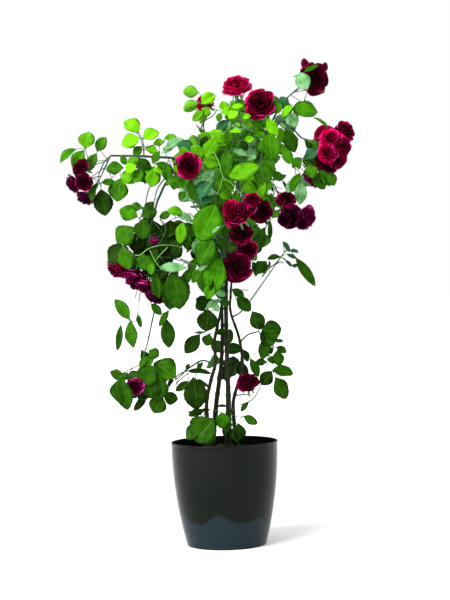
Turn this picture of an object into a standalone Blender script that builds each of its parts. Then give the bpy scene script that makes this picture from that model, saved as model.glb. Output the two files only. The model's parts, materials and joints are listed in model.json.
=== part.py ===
"""A climbing-type rose bush in a glossy plastic pot, at real size.

Metres, +Z up. The origin is on the floor, under the middle of the pot. Soil fills the pot, four canes
stand in it, boughs arch out from the canes, and every spray of foliage is one closed solid: twigs, leaves
and roses fused on a stem that goes on from its limb, 0.3 mm clear of it. Run it with
blender --background --python part.py, or from Blender's text editor.
"""

import math
import random
from collections import namedtuple

import bmesh
import bpy
from mathutils import Matrix, Vector
from mathutils.bvhtree import BVHTree

MM = 0.001
GAP = 0.3 * MM  # between neighbouring pieces

# The pot: walls that stand nearly upright at the rim and curve in to the base.
POT_HEIGHT = 0.250
POT_RIM_RADIUS = 0.130
POT_BASE_RADIUS = 0.0965
POT_CURVE = 2.05  # power of the wall's curve: 1 is a plain cone
POT_WALL = 0.003
POT_FLOOR = 0.004
POT_LIP = 0.0015  # how far the rim's bead stands proud of the wall
POT_LIP_HEIGHT = 0.005
POT_FOOT_BEVEL = 0.004
WALL_ROWS = 4
FILL_ROWS = 2
TURN_STEPS = 24

# The soil: a low mound of root ball round the canes, and a flat skirt below the rim.
SOIL_CROWN = 0.236
SOIL_CROWN_RADIUS = 0.045
SOIL_SKIRT = 0.208
SOIL_SKIRT_RADIUS = 0.085

# Limbs: how finely their routes are followed, and how many sides they have.
LIMB_STEP = 0.050
CANE_SIDES = 6
BOUGH_SIDES = 5
TWIG_SIDES = 3
STEM_STEP = 0.045

# Leaves: a rose leaf is a stalk with one leaflet at its end and up to two pairs below it.
LEAFLET_WIDTH = 0.80  # of its length
LEAFLET_THICKNESS = 0.026  # of its length
LEAFLET_ROOT = 0.0004  # how far a leaflet's root runs past the middle of its stalk
LEAFLET_SPREAD = math.radians(60)  # between a side leaflet and the stalk
END_STALK = 0.011  # from the last pair to the end leaflet
PAIR_SPACING = 0.023
LEAF_REACH = 0.122  # the longest leaf, and what is further off is carried on a twig
TWIG_RADIUS = 0.0012
TWIG_END = 0.0008
SIDE_STEM_RADIUS = 0.0015
TIP_STEM_SHARE = 0.95  # of the radius of the limb's tip that the stem goes on from
STEM_ARCH = 0.04  # rise of a side stem's middle, as a share of its length
SEATING = 0.00002  # how closely a side stem is seated on its limb
STALK_RADIUS = 0.0011
STALK_ROOT = 0.0009  # how far a stalk or twig starts behind the middle of what holds it
STEM_END = 0.96  # the furthest share of a stem that still takes a root
PEDICEL_RADIUS = 0.0012
BRANCH_ANGLE = math.radians(45)
LEAF_TRIES = 7
SINGLE_LEAF = 1.3  # a leaf no longer than this many leaflets is one leaflet on the twig itself
BUD_WIDTH = 0.032  # a rose no wider than this is still a bud
BUD_LENGTH = 1.5  # of its width
PHYLLOTAXIS = math.radians(137.5)
LEAF_TWIST = 0.45  # how unevenly whole leaves face the light
LEAFLET_TWIST = 0.22  # and each leaflet of one leaf
LEAFLET_DROOP = 0.08
PAIR_SIZES = (0.92, 0.80)  # side leaflets against the end one, the pair next to it first
PAIR_OFFSET = 0.0022  # the two leaflets of a pair aren't quite opposite
FIRST_PAIR = 0.007  # the bare foot of a leaf's stalk
TWIG_LEAST = 0.012  # a twig shorter than this is left out
TRY_STEP = 0.006  # how much further from its place each new try may look

Limb = namedtuple("Limb", "parent share radii points")
Spray = namedtuple("Spray", "limb share stem leaflet pairs filler reaches blooms")
Bloom = namedtuple("Bloom", "place facing width")

# Canes stand in the soil. Points are in millimetres from the origin, foot first.
CANES = {
    "cane_main": Limb(None, 0, (8, 5.5, 5, 4), [(9, 0, 0), (12, 0, 330), (12, 0, 590), (23, 0, 748)]),
    "cane_left_inner": Limb(
        None, 0, (6.5, 5, 3), [(-28, 12, 0), (-16, 12, 350), (-8, 12, 400), (0, 11, 480), (3, 11, 627)]
    ),
    "cane_left_outer": Limb(
        None,
        0,
        (6.5, 4.5, 4, 2.8),
        [(-38, -10, 0), (-40, -10, 350), (-17, -10, 440), (-18, -10, 490), (0, -11, 570), (5, -12, 616)],
    ),
    "cane_right": Limb(
        None,
        0,
        (5.5, 4, 3.5, 2.5),
        [(29, 12, 0), (24, 12, 343), (48, 15, 425), (43, 15, 493), (23, 13, 560), (27, 13, 639)],
    ),
}

# Boughs leave their parent at a share of its length. At share 1 they go on from its tip.
BOUGHS = {
    "bough_far_left": Limb("cane_main", 0.84, (3.5, 2.8), [(-17, 30, 781), (-54, 50, 890), (-105, 50, 936)]),
    "bough_far_left_tip": Limb("bough_far_left", 1, (2.8, 2.0), [(-190, 40, 946), (-254, 30, 948)]),
    "bough_left": Limb("cane_left_inner", 1, (3, 2.6), [(-13, -30, 748), (-36, -60, 843), (-73, -70, 884)]),
    "bough_left_crest": Limb("bough_left", 1, (2.6, 2.3), [(-118, -80, 878), (-140, -94, 838)]),
    "bough_left_low": Limb("bough_left_crest", 1, (2.3, 1.9), [(-160, -104, 770), (-164, -98, 710)]),
    "bough_hanging": Limb(
        "bough_left_low", 1, (1.8, 1.4), [(-152, -66, 640), (-157, -58, 584), (-177, -52, 497)]
    ),
    "bough_top": Limb("cane_main", 1, (3.8, 2.2), [(42, 10, 845), (60, 2, 930), (62, -8, 985)]),
    "bough_top_left": Limb("bough_top", 0.32, (2.2, 1.6), [(10, 60, 909), (-22, 92, 973), (-32, 100, 1005)]),
    "bough_top_back": Limb("bough_top", 0.55, (2.2, 1.6), [(72, 55, 940), (84, 95, 1000)]),
    "bough_top_right": Limb("cane_main", 0.95, (3, 1.8), [(52, 20, 821), (124, 15, 1001), (164, 10, 1067)]),
    "bough_right_upper": Limb("bough_top_right", 0.70, (2.0, 1.5), [(160, 0, 1018), (200, -20, 979)]),
    "bough_right_mid": Limb("bough_top_right", 0.46, (2.0, 1.5), [(122, -30, 948), (169, -30, 931)]),
    "bough_right_low": Limb("cane_main", 0.80, (2.6, 1.8), [(64, 50, 797), (108, 80, 858), (132, 80, 868)]),
    "bough_front": Limb("cane_main", 0.92, (2.6, 1.8), [(31, -60, 794), (46, -130, 850)]),
    "bough_front_left": Limb("cane_main", 0.87, (2.6, 1.8), [(-14, -80, 795), (-52, -152, 880)]),
    "bough_front_low": Limb("cane_left_outer", 1, (2.8, 1.8), [(-8, -66, 683), (-15, -116, 722)]),
    "bough_back_left": Limb("cane_main", 0.90, (2.8, 1.8), [(7, 90, 775), (-9, 165, 865), (-25, 205, 915)]),
    "bough_back_right": Limb("cane_right", 1, (2.5, 1.8), [(47, 100, 786), (80, 165, 860), (96, 195, 900)]),
    "bough_back_low": Limb("bough_back_right", 0.2, (2.0, 1.5), [(44, 120, 712), (56, 190, 738)]),
    "bough_right_thin": Limb("cane_right", 0.78, (1.8, 1.4), [(45, -12, 560), (68, -26, 586)]),
    "bough_right_hang": Limb("cane_right", 0.62, (1.8, 1.4), [(62, 4, 505), (84, -4, 512)]),
    "bough_low_left": Limb(
        "cane_left_outer", 0.52, (2.0, 1.4), [(-47, -16, 447), (-80, -16, 430), (-104, -16, 410)]
    ),
}

# Sprays: limb and share as for a bough, where the stem ends, leaflet length, pairs of side leaflets, how many
# leaves the rule adds along the stem, where the leaves at the crown's edge reach to, and the roses.
SPRAYS = {
    "foliage_far_left": Spray(
        "bough_far_left_tip", 1, (-290, 20, 885), 42, 2, 0,
        [(-383, 30, 948), (-320, 52, 1007), (-272, -12, 808), (-239, -20, 843), (-303, 125, 945)],
        [
            Bloom((-335, 0, 920), (-0.7, -0.6, 0.3), 52),
            Bloom((-357, 20, 880), (-0.8, -0.3, -0.4), 50),
            Bloom((-322, -35, 882), (-0.2, -0.9, -0.2), 46),
            Bloom((-325, 10, 843), (-0.4, -0.4, -0.8), 48),
        ],
    ),
    "foliage_upper_left": Spray(
        "bough_far_left_tip", 0.5, (-180, 18, 985), 42, 2, 0,
        [(-221, 5, 1032), (-145, 10, 1007), (-223, -40, 969), (-161, 100, 997)],
        [],
    ),
    "foliage_left_upper": Spray(
        "bough_left_crest", 0.3, (-115, -108, 925), 44, 1, 0,
        [
            (-140, -105, 995), (-72, -62, 995), (-150, -120, 905), (-75, -115, 856),
            (-235, -90, 916), (-193, -110, 876),
        ],
        [],
    ),
    "foliage_left_cluster": Spray(
        "bough_left_low", 0.35, (-180, -150, 768), 54, 1, 0,
        [
            (-225, -120, 822), (-120, -140, 742), (-239, -130, 759), (-263, -115, 692),
            (-165, -190, 690), (-209, -160, 674), (-170, -60, 828),
        ],
        [Bloom((-150, -172, 735), (0.1, -0.9, 0.3), 20)],
    ),
    "foliage_left_inner": Spray(
        "bough_left", 0.36, (-68, -80, 800), 56, 1, 0,
        [(-122, -110, 758), (-102, -118, 706), (-51, -105, 701)],
        [],
    ),
    "foliage_left_fall": Spray(
        "bough_left_low", 0.92, (-118, -132, 672), 56, 1, 0,
        [(-113, -165, 581), (-66, -100, 670), (-140, -160, 651)],
        [],
    ),
    "foliage_left_roses": Spray(
        "bough_hanging", 0.22, (-192, -70, 672), 58, 0, 0,
        [(-118, -105, 590), (-217, -115, 552), (-211, -110, 491), (-124, -60, 486)],
        [
            Bloom((-245, -100, 670), (-0.5, -0.7, -0.4), 58),
            Bloom((-196, -116, 640), (-0.2, -0.85, -0.3), 64),
            Bloom((-150, -108, 604), (-0.1, -0.6, -0.6), 62),
            Bloom((-140, -20, 630), (0.2, 0.6, -0.4), 54),
        ],
    ),
    "foliage_low_left": Spray(
        "bough_hanging", 1, (-196, -50, 440), 50, 1, 0,
        [(-156, -40, 479), (-170, -85, 370), (-235, -55, 333), (-168, -15, 330), (-207, -5, 333)],
        [Bloom((-210, -72, 390), (-0.1, -0.85, -0.3), 46), Bloom((-251, -40, 419), (-0.3, -0.2, 0.9), 20)],
    ),
    "foliage_top_left": Spray(
        "bough_top_left", 1, (-30, 92, 1040), 42, 1, 0,
        [
            (-74, 85, 1112), (-72, 70, 1062), (-8, 60, 1086), (-24, 30, 988),
            (19, 105, 1075), (-40, 150, 1090),
        ],
        [Bloom((-32, 74, 1076), (-0.6, -0.7, 0.3), 52)],
    ),
    "foliage_top": Spray(
        "bough_top", 1, (55, -20, 1035), 42, 1, 0,
        [(0, -40, 1020), (15, -25, 1062), (50, -90, 1000), (88, 55, 1030), (112, -65, 985), (20, 30, 1075)],
        [Bloom((49, -22, 1110), (-0.05, -0.6, 0.8), 74), Bloom((101, -60, 1060), (-0.15, -0.95, 0.2), 80)],
    ),
    "foliage_top_right": Spray(
        "bough_top_right", 1, (205, 2, 1104), 46, 1, 0,
        [(244, -20, 1036), (124, -40, 1039), (265, 55, 1113), (180, 80, 995)],
        [
            Bloom((243, 0, 1120), (0.8, -0.6, 0), 80),
            Bloom((217, 5, 1155), (-0.2, -0.1, 0.95), 20),
            Bloom((264, 22, 1148), (0.3, 0.1, 0.9), 18),
            Bloom((238, 62, 1124), (-0.1, 0.9, 0.4), 54),
        ],
    ),
    "foliage_right_upper": Spray(
        "bough_right_upper", 1, (245, -20, 965), 46, 1, 0,
        [(226, -40, 900), (278, 80, 953)],
        [
            Bloom((311, -20, 991), (0.6, -0.7, 0.3), 58),
            Bloom((281, -54, 953), (0.1, -0.95, 0.1), 74),
            Bloom((262, -32, 912), (0, -0.9, -0.2), 62),
            Bloom((261, -5, 988), (-0.1, -0.8, 0.5), 56),
        ],
    ),
    "foliage_right_mid": Spray(
        "bough_right_mid", 1, (208, -20, 908), 42, 1, 0,
        [(278, -45, 868), (196, -25, 825), (150, -45, 1000), (232, 80, 880)],
        [Bloom((237, 5, 872), (0.2, -0.3, -0.8), 58)],
    ),
    "foliage_right_low": Spray(
        "bough_right_low", 1, (152, 70, 832), 46, 1, 0,
        [(125, 52, 905), (88, 20, 710), (100, 10, 790), (184, 140, 854), (120, 140, 800)],
        [
            Bloom((165, 38, 836), (0, -0.75, 0.6), 50),
            Bloom((173, 38, 784), (-0.1, -0.85, -0.4), 66),
            Bloom((220, 55, 786), (0.7, -0.5, -0.2), 62),
            Bloom((182, 130, 801), (0.4, 0.8, 0.2), 58),
        ],
    ),
    "foliage_front": Spray(
        "bough_front", 1, (55, -172, 840), 60, 1, 0,
        [
            (90, -205, 900), (15, -195, 925), (101, -190, 852), (5, -215, 835),
            (-5, -205, 775), (132, -130, 918),
        ],
        [
            Bloom((40, -212, 795), (-0.35, -0.6, 0.5), 70),
            Bloom((99, -192, 800), (0.3, -0.9, 0.2), 62),
            Bloom((77, -222, 824), (-0.1, -0.8, 0.5), 40),
            Bloom((50, -182, 750), (-0.1, -0.9, 0.1), 56),
            Bloom((66, -150, 708), (0.3, -0.85, -0.2), 52),
        ],
    ),
    "foliage_front_low": Spray(
        "bough_front_low", 1, (0, -170, 712), 60, 1, 0,
        [(-35, -215, 762), (-42, -175, 665), (-12, -165, 612), (-73, -145, 636), (70, -120, 772)],
        [Bloom((40, -192, 672), (0.1, -0.95, 0.1), 74)],
    ),
    "foliage_front_left": Spray(
        "bough_front_left", 1, (-70, -200, 880), 50, 1, 0,
        [(-80, -190, 948), (-60, -200, 826), (-135, -190, 882), (-20, -200, 940), (-32, -195, 752)],
        [Bloom((-66, -236, 904), (0, -0.97, 0.1), 62)],
    ),
    "foliage_crown": Spray(
        "bough_top", 0.72, (32, 30, 965), 52, 1, 0,
        [(-12, 0, 1003), (60, 45, 990), (-20, -20, 935), (95, 25, 955), (35, -60, 935)],
        [],
    ),
    "foliage_inner": Spray(
        "bough_left", 0.55, (-62, -40, 860), 52, 1, 0,
        [(-95, -20, 935), (-15, -60, 905), (-29, 20, 801)],
        [],
    ),
    "foliage_back_left": Spray(
        "bough_back_left", 1, (-52, 235, 945), 56, 1, 1,
        [(-125, 250, 985), (-60, 280, 1010), (-110, 215, 885), (-20, 290, 905)],
        [Bloom((-35, 285, 960), (-0.1, 0.95, 0.2), 68), Bloom((-95, 262, 930), (-0.5, 0.8, 0), 58)],
    ),
    "foliage_back_right": Spray(
        "bough_back_right", 1, (84, 218, 945), 56, 1, 1,
        [(142, 235, 1002), (85, 258, 1020), (112, 225, 885), (50, 275, 885)],
        [Bloom((92, 272, 955), (0.3, 0.95, 0.1), 68), Bloom((28, 282, 918), (-0.2, 0.95, 0), 56)],
    ),
    "foliage_back_low": Spray(
        "bough_back_low", 1, (62, 225, 735), 56, 1, 1,
        [(5, 235, 785), (120, 235, 775), (30, 250, 670), (95, 240, 660)],
        [Bloom((62, 272, 765), (0, 0.95, 0.2), 64)],
    ),
    "foliage_top_back": Spray(
        "bough_top_back", 1, (88, 125, 1035), 50, 1, 1,
        [(40, 140, 1085), (135, 130, 1075), (90, 175, 1000), (145, 105, 1020)],
        [Bloom((95, 145, 1075), (0.1, 0.7, 0.7), 64)],
    ),
    "foliage_right_thin": Spray(
        "bough_right_thin", 1, (154, -40, 702), 38, 1, 0,
        [(34, -45, 615), (216, -45, 630), (81, -60, 681)],
        [],
    ),
    "foliage_right_hang": Spray(
        "bough_right_hang", 1, (112, -10, 455), 46, 1, 0,
        [(93, 10, 523), (133, -20, 512), (154, 0, 467), (169, -22, 412), (150, -20, 352), (97, 0, 383)],
        [],
    ),
    "foliage_stem_left": Spray(
        "cane_left_outer", 0.88, (-38, -32, 592), 46, 1, 0,
        [(-65, -50, 582), (-28, -62, 525), (5, -55, 622), (-85, -20, 478), (-14, 20, 506)],
        [],
    ),
    "foliage_low_left_twig": Spray(
        "bough_low_left", 1, (-124, -20, 398), 48, 1, 0,
        [(-150, -30, 440), (-182, 10, 392), (-155, -35, 332), (-120, 30, 350)],
        [],
    ),
    "foliage_low_left_stem": Spray(
        "bough_low_left", 0.45, (-66, -46, 400), 58, 1, 0,
        [(-70, -64, 338), (-105, -50, 378), (-33, -62, 398)],
        [],
    ),
    "foliage_low_rose": Spray(
        "cane_right", 0.30, (66, -28, 362), 46, 1, 0,
        [(53, -60, 332)],
        [Bloom((60, -50, 398), (-0.1, -0.6, 0.75), 58)],
    ),
    "foliage_foot_left": Spray(
        "cane_left_outer", 0.14, (-58, -42, 322), 54, 1, 0,
        [(-58, -86, 276), (-81, -60, 283), (-22, -56, 330)],
        [],
    ),
    "foliage_foot_right": Spray(
        "cane_main", 0.12, (24, -34, 330), 50, 1, 0,
        [(34, -54, 252), (81, -55, 297)],
        [],
    ),
    "foliage_low_back": Spray(
        "cane_left_inner", 0.5, (0, 46, 450), 54, 1, 0,
        [(20, 60, 520), (50, 60, 420), (-45, 60, 440), (10, 70, 375)],
        [],
    ),
}


# --- Materials -------------------------------------------------------------------------------------------


def material(name, colour, roughness):
    made = bpy.data.materials.new(name)
    made.use_nodes = True
    shader = made.node_tree.nodes["Principled BSDF"]
    shader.inputs["Base Color"].default_value = (*colour, 1)
    shader.inputs["Roughness"].default_value = roughness
    made.diffuse_color = (*colour, 1)
    return made


def make_materials():
    return {
        "pot": material("pot plastic", (0.018, 0.022, 0.018), 0.18),
        "soil": material("soil", (0.020, 0.014, 0.010), 0.95),
        "bark": material("bark", (0.040, 0.035, 0.025), 0.75),
        "green": material("leaf green", (0.060, 0.210, 0.015), 0.5),
        "petal": material("crimson petal", (0.300, 0.002, 0.030), 0.6),
    }


# --- Pot and soil ----------------------------------------------------------------------------------------


def pot_radius(height):
    """Outer radius of the pot's wall at this height."""
    down = 1 - height / POT_HEIGHT
    return POT_RIM_RADIUS - (POT_RIM_RADIUS - POT_BASE_RADIUS) * down**POT_CURVE


def turned(name, profile, collection, finish):
    """A turned piece: its profile runs from the axis, out and down its outer side, and back to the axis."""
    mesh = bpy.data.meshes.new(name)
    shape = bmesh.new()
    corners = [shape.verts.new((radius, 0, height)) for radius, height in profile]
    for first, second in zip(corners, corners[1:]):
        shape.edges.new((first, second))
    shape.to_mesh(mesh)
    shape.free()
    piece = bpy.data.objects.new(name, mesh)
    collection.objects.link(piece)
    screw = piece.modifiers.new("Turn", "SCREW")
    screw.steps = TURN_STEPS
    screw.render_steps = TURN_STEPS
    screw.use_merge_vertices = True
    screw.merge_threshold = 0.00001
    mesh.materials.append(finish)
    return piece


def heights(low, high, count):
    return [low + (high - low) * i / count for i in range(count + 1)]


def filled_wall():
    """The inner wall from the floor up to the soil's skirt: radius and height, bottom first."""
    return [(pot_radius(z) - POT_WALL, z) for z in heights(POT_FLOOR, SOIL_SKIRT, FILL_ROWS)]


def make_pot(collection, finish):
    lip = [
        (POT_RIM_RADIUS - POT_WALL, POT_HEIGHT),
        (POT_RIM_RADIUS, POT_HEIGHT),
        (POT_RIM_RADIUS, POT_HEIGHT - POT_LIP_HEIGHT),
    ]
    wall_top = POT_HEIGHT - POT_LIP_HEIGHT - POT_LIP
    outer = [(pot_radius(z) - POT_LIP / 2, z) for z in reversed(heights(POT_FOOT_BEVEL, wall_top, WALL_ROWS))]
    foot = [(POT_BASE_RADIUS - POT_FOOT_BEVEL, 0), (0, 0)]
    return turned("pot", [(0, POT_FLOOR), *filled_wall(), *lip, *outer, *foot], collection, finish)


def make_soil(collection, finish):
    edge = [(radius - GAP, max(z, POT_FLOOR + GAP)) for radius, z in reversed(filled_wall())]
    top = [(0, SOIL_CROWN), (SOIL_CROWN_RADIUS, SOIL_CROWN), (SOIL_SKIRT_RADIUS, SOIL_SKIRT)]
    return turned("soil", [*top, *edge, (0, POT_FLOOR + GAP)], collection, finish)


# --- Routes and tubes ------------------------------------------------------------------------------------


def smooth_route(points, step):
    """Points about a step apart on the smooth curve through these."""
    ends = [2 * points[0] - points[1], *points, 2 * points[-1] - points[-2]]
    route = [points[0]]
    for before, start, end, after in zip(ends, ends[1:], ends[2:], ends[3:]):
        pieces = max(1, round((end - start).length / step))
        for i in range(1, pieces + 1):
            t = i / pieces
            route.append(
                (
                    2 * start
                    + (end - before) * t
                    + (2 * before - 5 * start + 4 * end - after) * t * t
                    + (3 * start - before - 3 * end + after) * t**3
                )
                / 2
            )
    return route


def along(route, share):
    """Place and direction at this share of a route's length."""
    lengths = [(b - a).length for a, b in zip(route, route[1:])]
    left = share * sum(lengths)
    piece = 0
    while piece < len(lengths) - 1 and left > lengths[piece]:
        left -= lengths[piece]
        piece += 1
    start, end = route[piece], route[piece + 1]
    return start.lerp(end, min(1, left / lengths[piece])), (end - start).normalized()


def blend(values, share):
    """The value at this share of an evenly spaced list."""
    place = share * (len(values) - 1)
    low = min(int(place), len(values) - 2)
    return values[low] + (values[low + 1] - values[low]) * (place - low)


def tube_mesh(name, route, radii, sides):
    """A closed tube along a route, made from a curve, as a mesh with its caps welded."""
    curve = bpy.data.curves.new(name, "CURVE")
    curve.dimensions = "3D"
    curve.use_fill_caps = True
    curve.twist_mode = "MINIMUM"
    spline = curve.splines.new("POLY")
    spline.points.add(len(route) - 1)
    for i, (point, place) in enumerate(zip(spline.points, route)):
        point.co = (*place, 1)
        point.radius = blend(radii, i / (len(route) - 1))
    guide = ring_guide(sides)
    curve.bevel_mode = "OBJECT"
    curve.bevel_object = guide
    holder = bpy.data.objects.new(name, curve)
    bpy.context.scene.collection.objects.link(holder)
    graph = bpy.context.evaluated_depsgraph_get()
    mesh = bpy.data.meshes.new_from_object(holder.evaluated_get(graph))
    bpy.data.objects.remove(holder)
    bpy.data.curves.remove(curve)
    bpy.data.objects.remove(guide)
    weld(mesh)
    mesh.name = name
    return mesh


def ring_guide(sides):
    """A unit ring of a few sides, which a curve takes as its cross-section."""
    curve = bpy.data.curves.new("ring", "CURVE")
    curve.dimensions = "3D"
    spline = curve.splines.new("POLY")
    spline.points.add(sides - 1)
    spline.use_cyclic_u = True
    for i, point in enumerate(spline.points):
        turn = -2 * math.pi * i / sides
        point.co = (math.cos(turn), math.sin(turn), 0, 1)
    guide = bpy.data.objects.new("ring", curve)
    bpy.context.scene.collection.objects.link(guide)
    return guide


def weld(mesh):
    shape = bmesh.new()
    shape.from_mesh(mesh)
    bmesh.ops.remove_doubles(shape, verts=shape.verts, dist=0.01 * MM)
    bmesh.ops.recalc_face_normals(shape, faces=shape.faces)
    shape.to_mesh(mesh)
    shape.free()


# --- Canes and boughs ------------------------------------------------------------------------------------


def in_metres(point):
    return Vector(point) * MM


def next_points(parent_route, share):
    """The first points of a limb that leaves its parent here: in its middle, or just past its tip."""
    place, direction = along(parent_route, share)
    if share < 1:
        return [place]
    return [place + direction * GAP, place + direction * 6 * MM]


def limb_routes():
    routes = {}
    for name, cane in CANES.items():
        foot = in_metres(cane.points[0]) + Vector((0, 0, SOIL_CROWN + GAP))
        upright = foot + Vector((0, 0, 8 * MM))
        routes[name] = [foot, *smooth_route([upright, *map(in_metres, cane.points[1:])], LIMB_STEP)]
    for name, bough in BOUGHS.items():
        start = next_points(routes[bough.parent], bough.share)
        first, *rest = smooth_route([start[-1], *map(in_metres, bough.points)], LIMB_STEP)
        routes[name] = [*start[:-1], first, *rest]
    return routes


def radii_of(limb, grown=0):
    return [radius * MM + grown for radius in limb.radii]


def sides_of(name):
    return CANE_SIDES if name in CANES else BOUGH_SIDES


def make_limb(name, limb, route, collection, finish):
    mesh = tube_mesh(name, route, radii_of(limb), sides_of(name))
    mesh.materials.append(finish)
    piece = bpy.data.objects.new(name, mesh)
    collection.objects.link(piece)
    return piece


def make_sleeve(name, limb, route, collection):
    """A cutter round a limb that keeps its side boughs clear of it."""
    mesh = tube_mesh("sleeve_" + name, route, radii_of(limb, GAP), sides_of(name))
    sleeve = bpy.data.objects.new("sleeve_" + name, mesh)
    sleeve.hide_render = True
    sleeve.display_type = "WIRE"
    collection.objects.link(sleeve)
    return sleeve


def make_limbs(routes, parts, cutters, finish):
    limbs = {**CANES, **BOUGHS}
    pieces = {name: make_limb(name, limb, routes[name], parts, finish) for name, limb in limbs.items()}
    sleeves = {}
    for name, bough in BOUGHS.items():
        if bough.share == 1:
            continue
        if bough.parent not in sleeves:
            sleeves[bough.parent] = make_sleeve(
                bough.parent, limbs[bough.parent], routes[bough.parent], cutters
            )
        cut = pieces[name].modifiers.new("Clear of parent", "BOOLEAN")
        cut.operation = "DIFFERENCE"
        cut.object = sleeves[bough.parent]
    return pieces


# --- Shapes that a spray is put together from ------------------------------------------------------------


def unit_leaflet():
    """A leaflet of unit length, width and thickness along +Y, from its root at the origin, keeled below."""
    shape = bmesh.new()
    root, tip, left, right, keel = (
        shape.verts.new(corner)
        for corner in [(0, 0, 0), (0, 1, 0), (-0.5, 0.48, 1 / 3), (0.5, 0.48, 1 / 3), (0, 0.48, -2 / 3)]
    )
    for first, second in ((left, right), (right, keel), (keel, left)):
        shape.faces.new((root, second, first))
        shape.faces.new((tip, first, second))
    bmesh.ops.recalc_face_normals(shape, faces=shape.faces)
    return shape


def unit_twig():
    """A three-sided twig of unit length along +Y and unit radius at its foot, thinner at its end."""
    shape = bmesh.new()
    bmesh.ops.create_cone(shape, segments=TWIG_SIDES, cap_ends=True, radius1=1, radius2=0.65, depth=1)
    bmesh.ops.translate(shape, verts=shape.verts, vec=(0, 0, 0.5))
    bmesh.ops.rotate(shape, verts=shape.verts, matrix=Matrix.Rotation(-math.pi / 2, 3, "X"))
    return shape


def unit_bloom():
    """A double rose of unit width that faces +Z: a shallow dome over a cup, centred at the origin."""
    shape = bmesh.new()
    bmesh.ops.create_uvsphere(shape, u_segments=7, v_segments=3, radius=0.5)
    for corner in shape.verts:
        corner.co.z *= 0.55 if corner.co.z > 0 else 0.8
        if corner.co.z < -0.1:
            corner.co.xy *= 0.8
    return shape


class Shape:
    """A small closed mesh that is placed many times: its Blender mesh, and its corners and faces."""

    def __init__(self, name, made, finish):
        self.mesh = bpy.data.meshes.new(name)
        made.to_mesh(self.mesh)
        made.free()
        self.mesh.materials.append(finish)
        self.corners = [corner.co.copy() for corner in self.mesh.vertices]
        self.faces = [tuple(face.vertices) for face in self.mesh.polygons]

    def surface(self, place):
        return BVHTree.FromPolygons([place @ corner for corner in self.corners], self.faces)


def set_along(origin, forward, normal, width, length, depth):
    """A matrix that puts +Y along forward and +Z as near as can be to normal, at these sizes."""
    forward = forward.normalized()
    across = forward.cross(normal)
    if across.length < 1e-4:
        across = forward.orthogonal()
    across.normalize()
    up = across.cross(forward)
    turn = Matrix((across, forward, up)).transposed().to_4x4()
    return Matrix.Translation(origin) @ turn @ Matrix.Diagonal((width, length, depth, 1))


# --- The growth rule -------------------------------------------------------------------------------------


def jitter(rng, size):
    return Vector((rng.uniform(-size, size), rng.uniform(-size, size), rng.uniform(-size, size)))


def light_on(place):
    """Where a leaf here turns its face: to the window in front, or outwards on the far side."""
    if place.y < 0.06:
        return Vector((0.5 * place.x - 0.1, -1, 0.45))
    return Vector((1.5 * place.x, 1, 0.5))


def branching_share(route, target, facing, rng):
    """The share of the stem where a twig for this target leaves it: at about the branching angle."""
    best_share, least = STEM_END, math.inf
    for i in range(3, 13):
        share = STEM_END * i / 12
        place, direction = along(route, share)
        way = target - place
        cost = abs(way.angle(direction) - BRANCH_ANGLE) + 4 * way.length + rng.uniform(0, 0.15)
        if facing is not None:
            cost += max(0, way.angle(facing) - 1.2)
        if cost < least:
            best_share, least = share, cost
    return best_share


def leaf_pieces(shapes, base, tip, size, pairs, rng):
    """(shape, matrix) of each part of a leaf from its base to its tip. The first one holds the others."""
    way = tip - base
    length = way.length
    direction = way.normalized()
    normal = light_on(base) + jitter(rng, LEAF_TWIST)
    side = direction.cross(normal).normalized()
    normal = side.cross(direction)
    pieces = []

    def add_leaflet(root, heading, grown):
        blade_up = normal + jitter(rng, LEAFLET_TWIST)
        heading = (heading - Vector((0, 0, LEAFLET_DROOP))).normalized()
        across = grown * LEAFLET_WIDTH * rng.uniform(0.92, 1.08)
        start = root - heading * LEAFLET_ROOT
        sizes = (across, grown + LEAFLET_ROOT, grown * LEAFLET_THICKNESS)
        pieces.append((shapes["leaflet"], set_along(start, heading, blade_up, *sizes)))

    if length < SINGLE_LEAF * size:
        add_leaflet(base, direction, length)
        return pieces
    end_length = min(size, 0.6 * length)
    stalk = length - end_length
    foot = base - direction * STALK_ROOT
    held_by = set_along(foot, direction, normal, STALK_RADIUS, stalk + 2 * STALK_ROOT, STALK_RADIUS)
    pieces.append((shapes["twig"], held_by))
    add_leaflet(base + direction * stalk, direction, end_length)
    for pair in range(pairs):
        at = stalk - END_STALK - pair * PAIR_SPACING
        if at < FIRST_PAIR:
            break
        grown = end_length * PAIR_SIZES[pair]
        for hand in (-1, 1):
            root = base + direction * (at + PAIR_OFFSET * hand)
            turn = LEAFLET_SPREAD + rng.uniform(-0.12, 0.12)
            add_leaflet(root, direction * math.cos(turn) + side * hand * math.sin(turn), grown)
    return pieces


def swollen(place, by):
    """The same placed shape, a little larger all round, for a test of clearance."""
    scale = place.to_scale()
    return place @ Matrix.Diagonal(
        ((scale.x + 2 * by) / scale.x, (scale.y + by) / scale.y, (scale.z + 2 * by) / scale.z, 1)
    )


def meets(shape, place, obstacles):
    surface = shape.surface(swollen(place, 2 * GAP))
    return any(surface.overlap(obstacle) for obstacle in obstacles)


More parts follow.
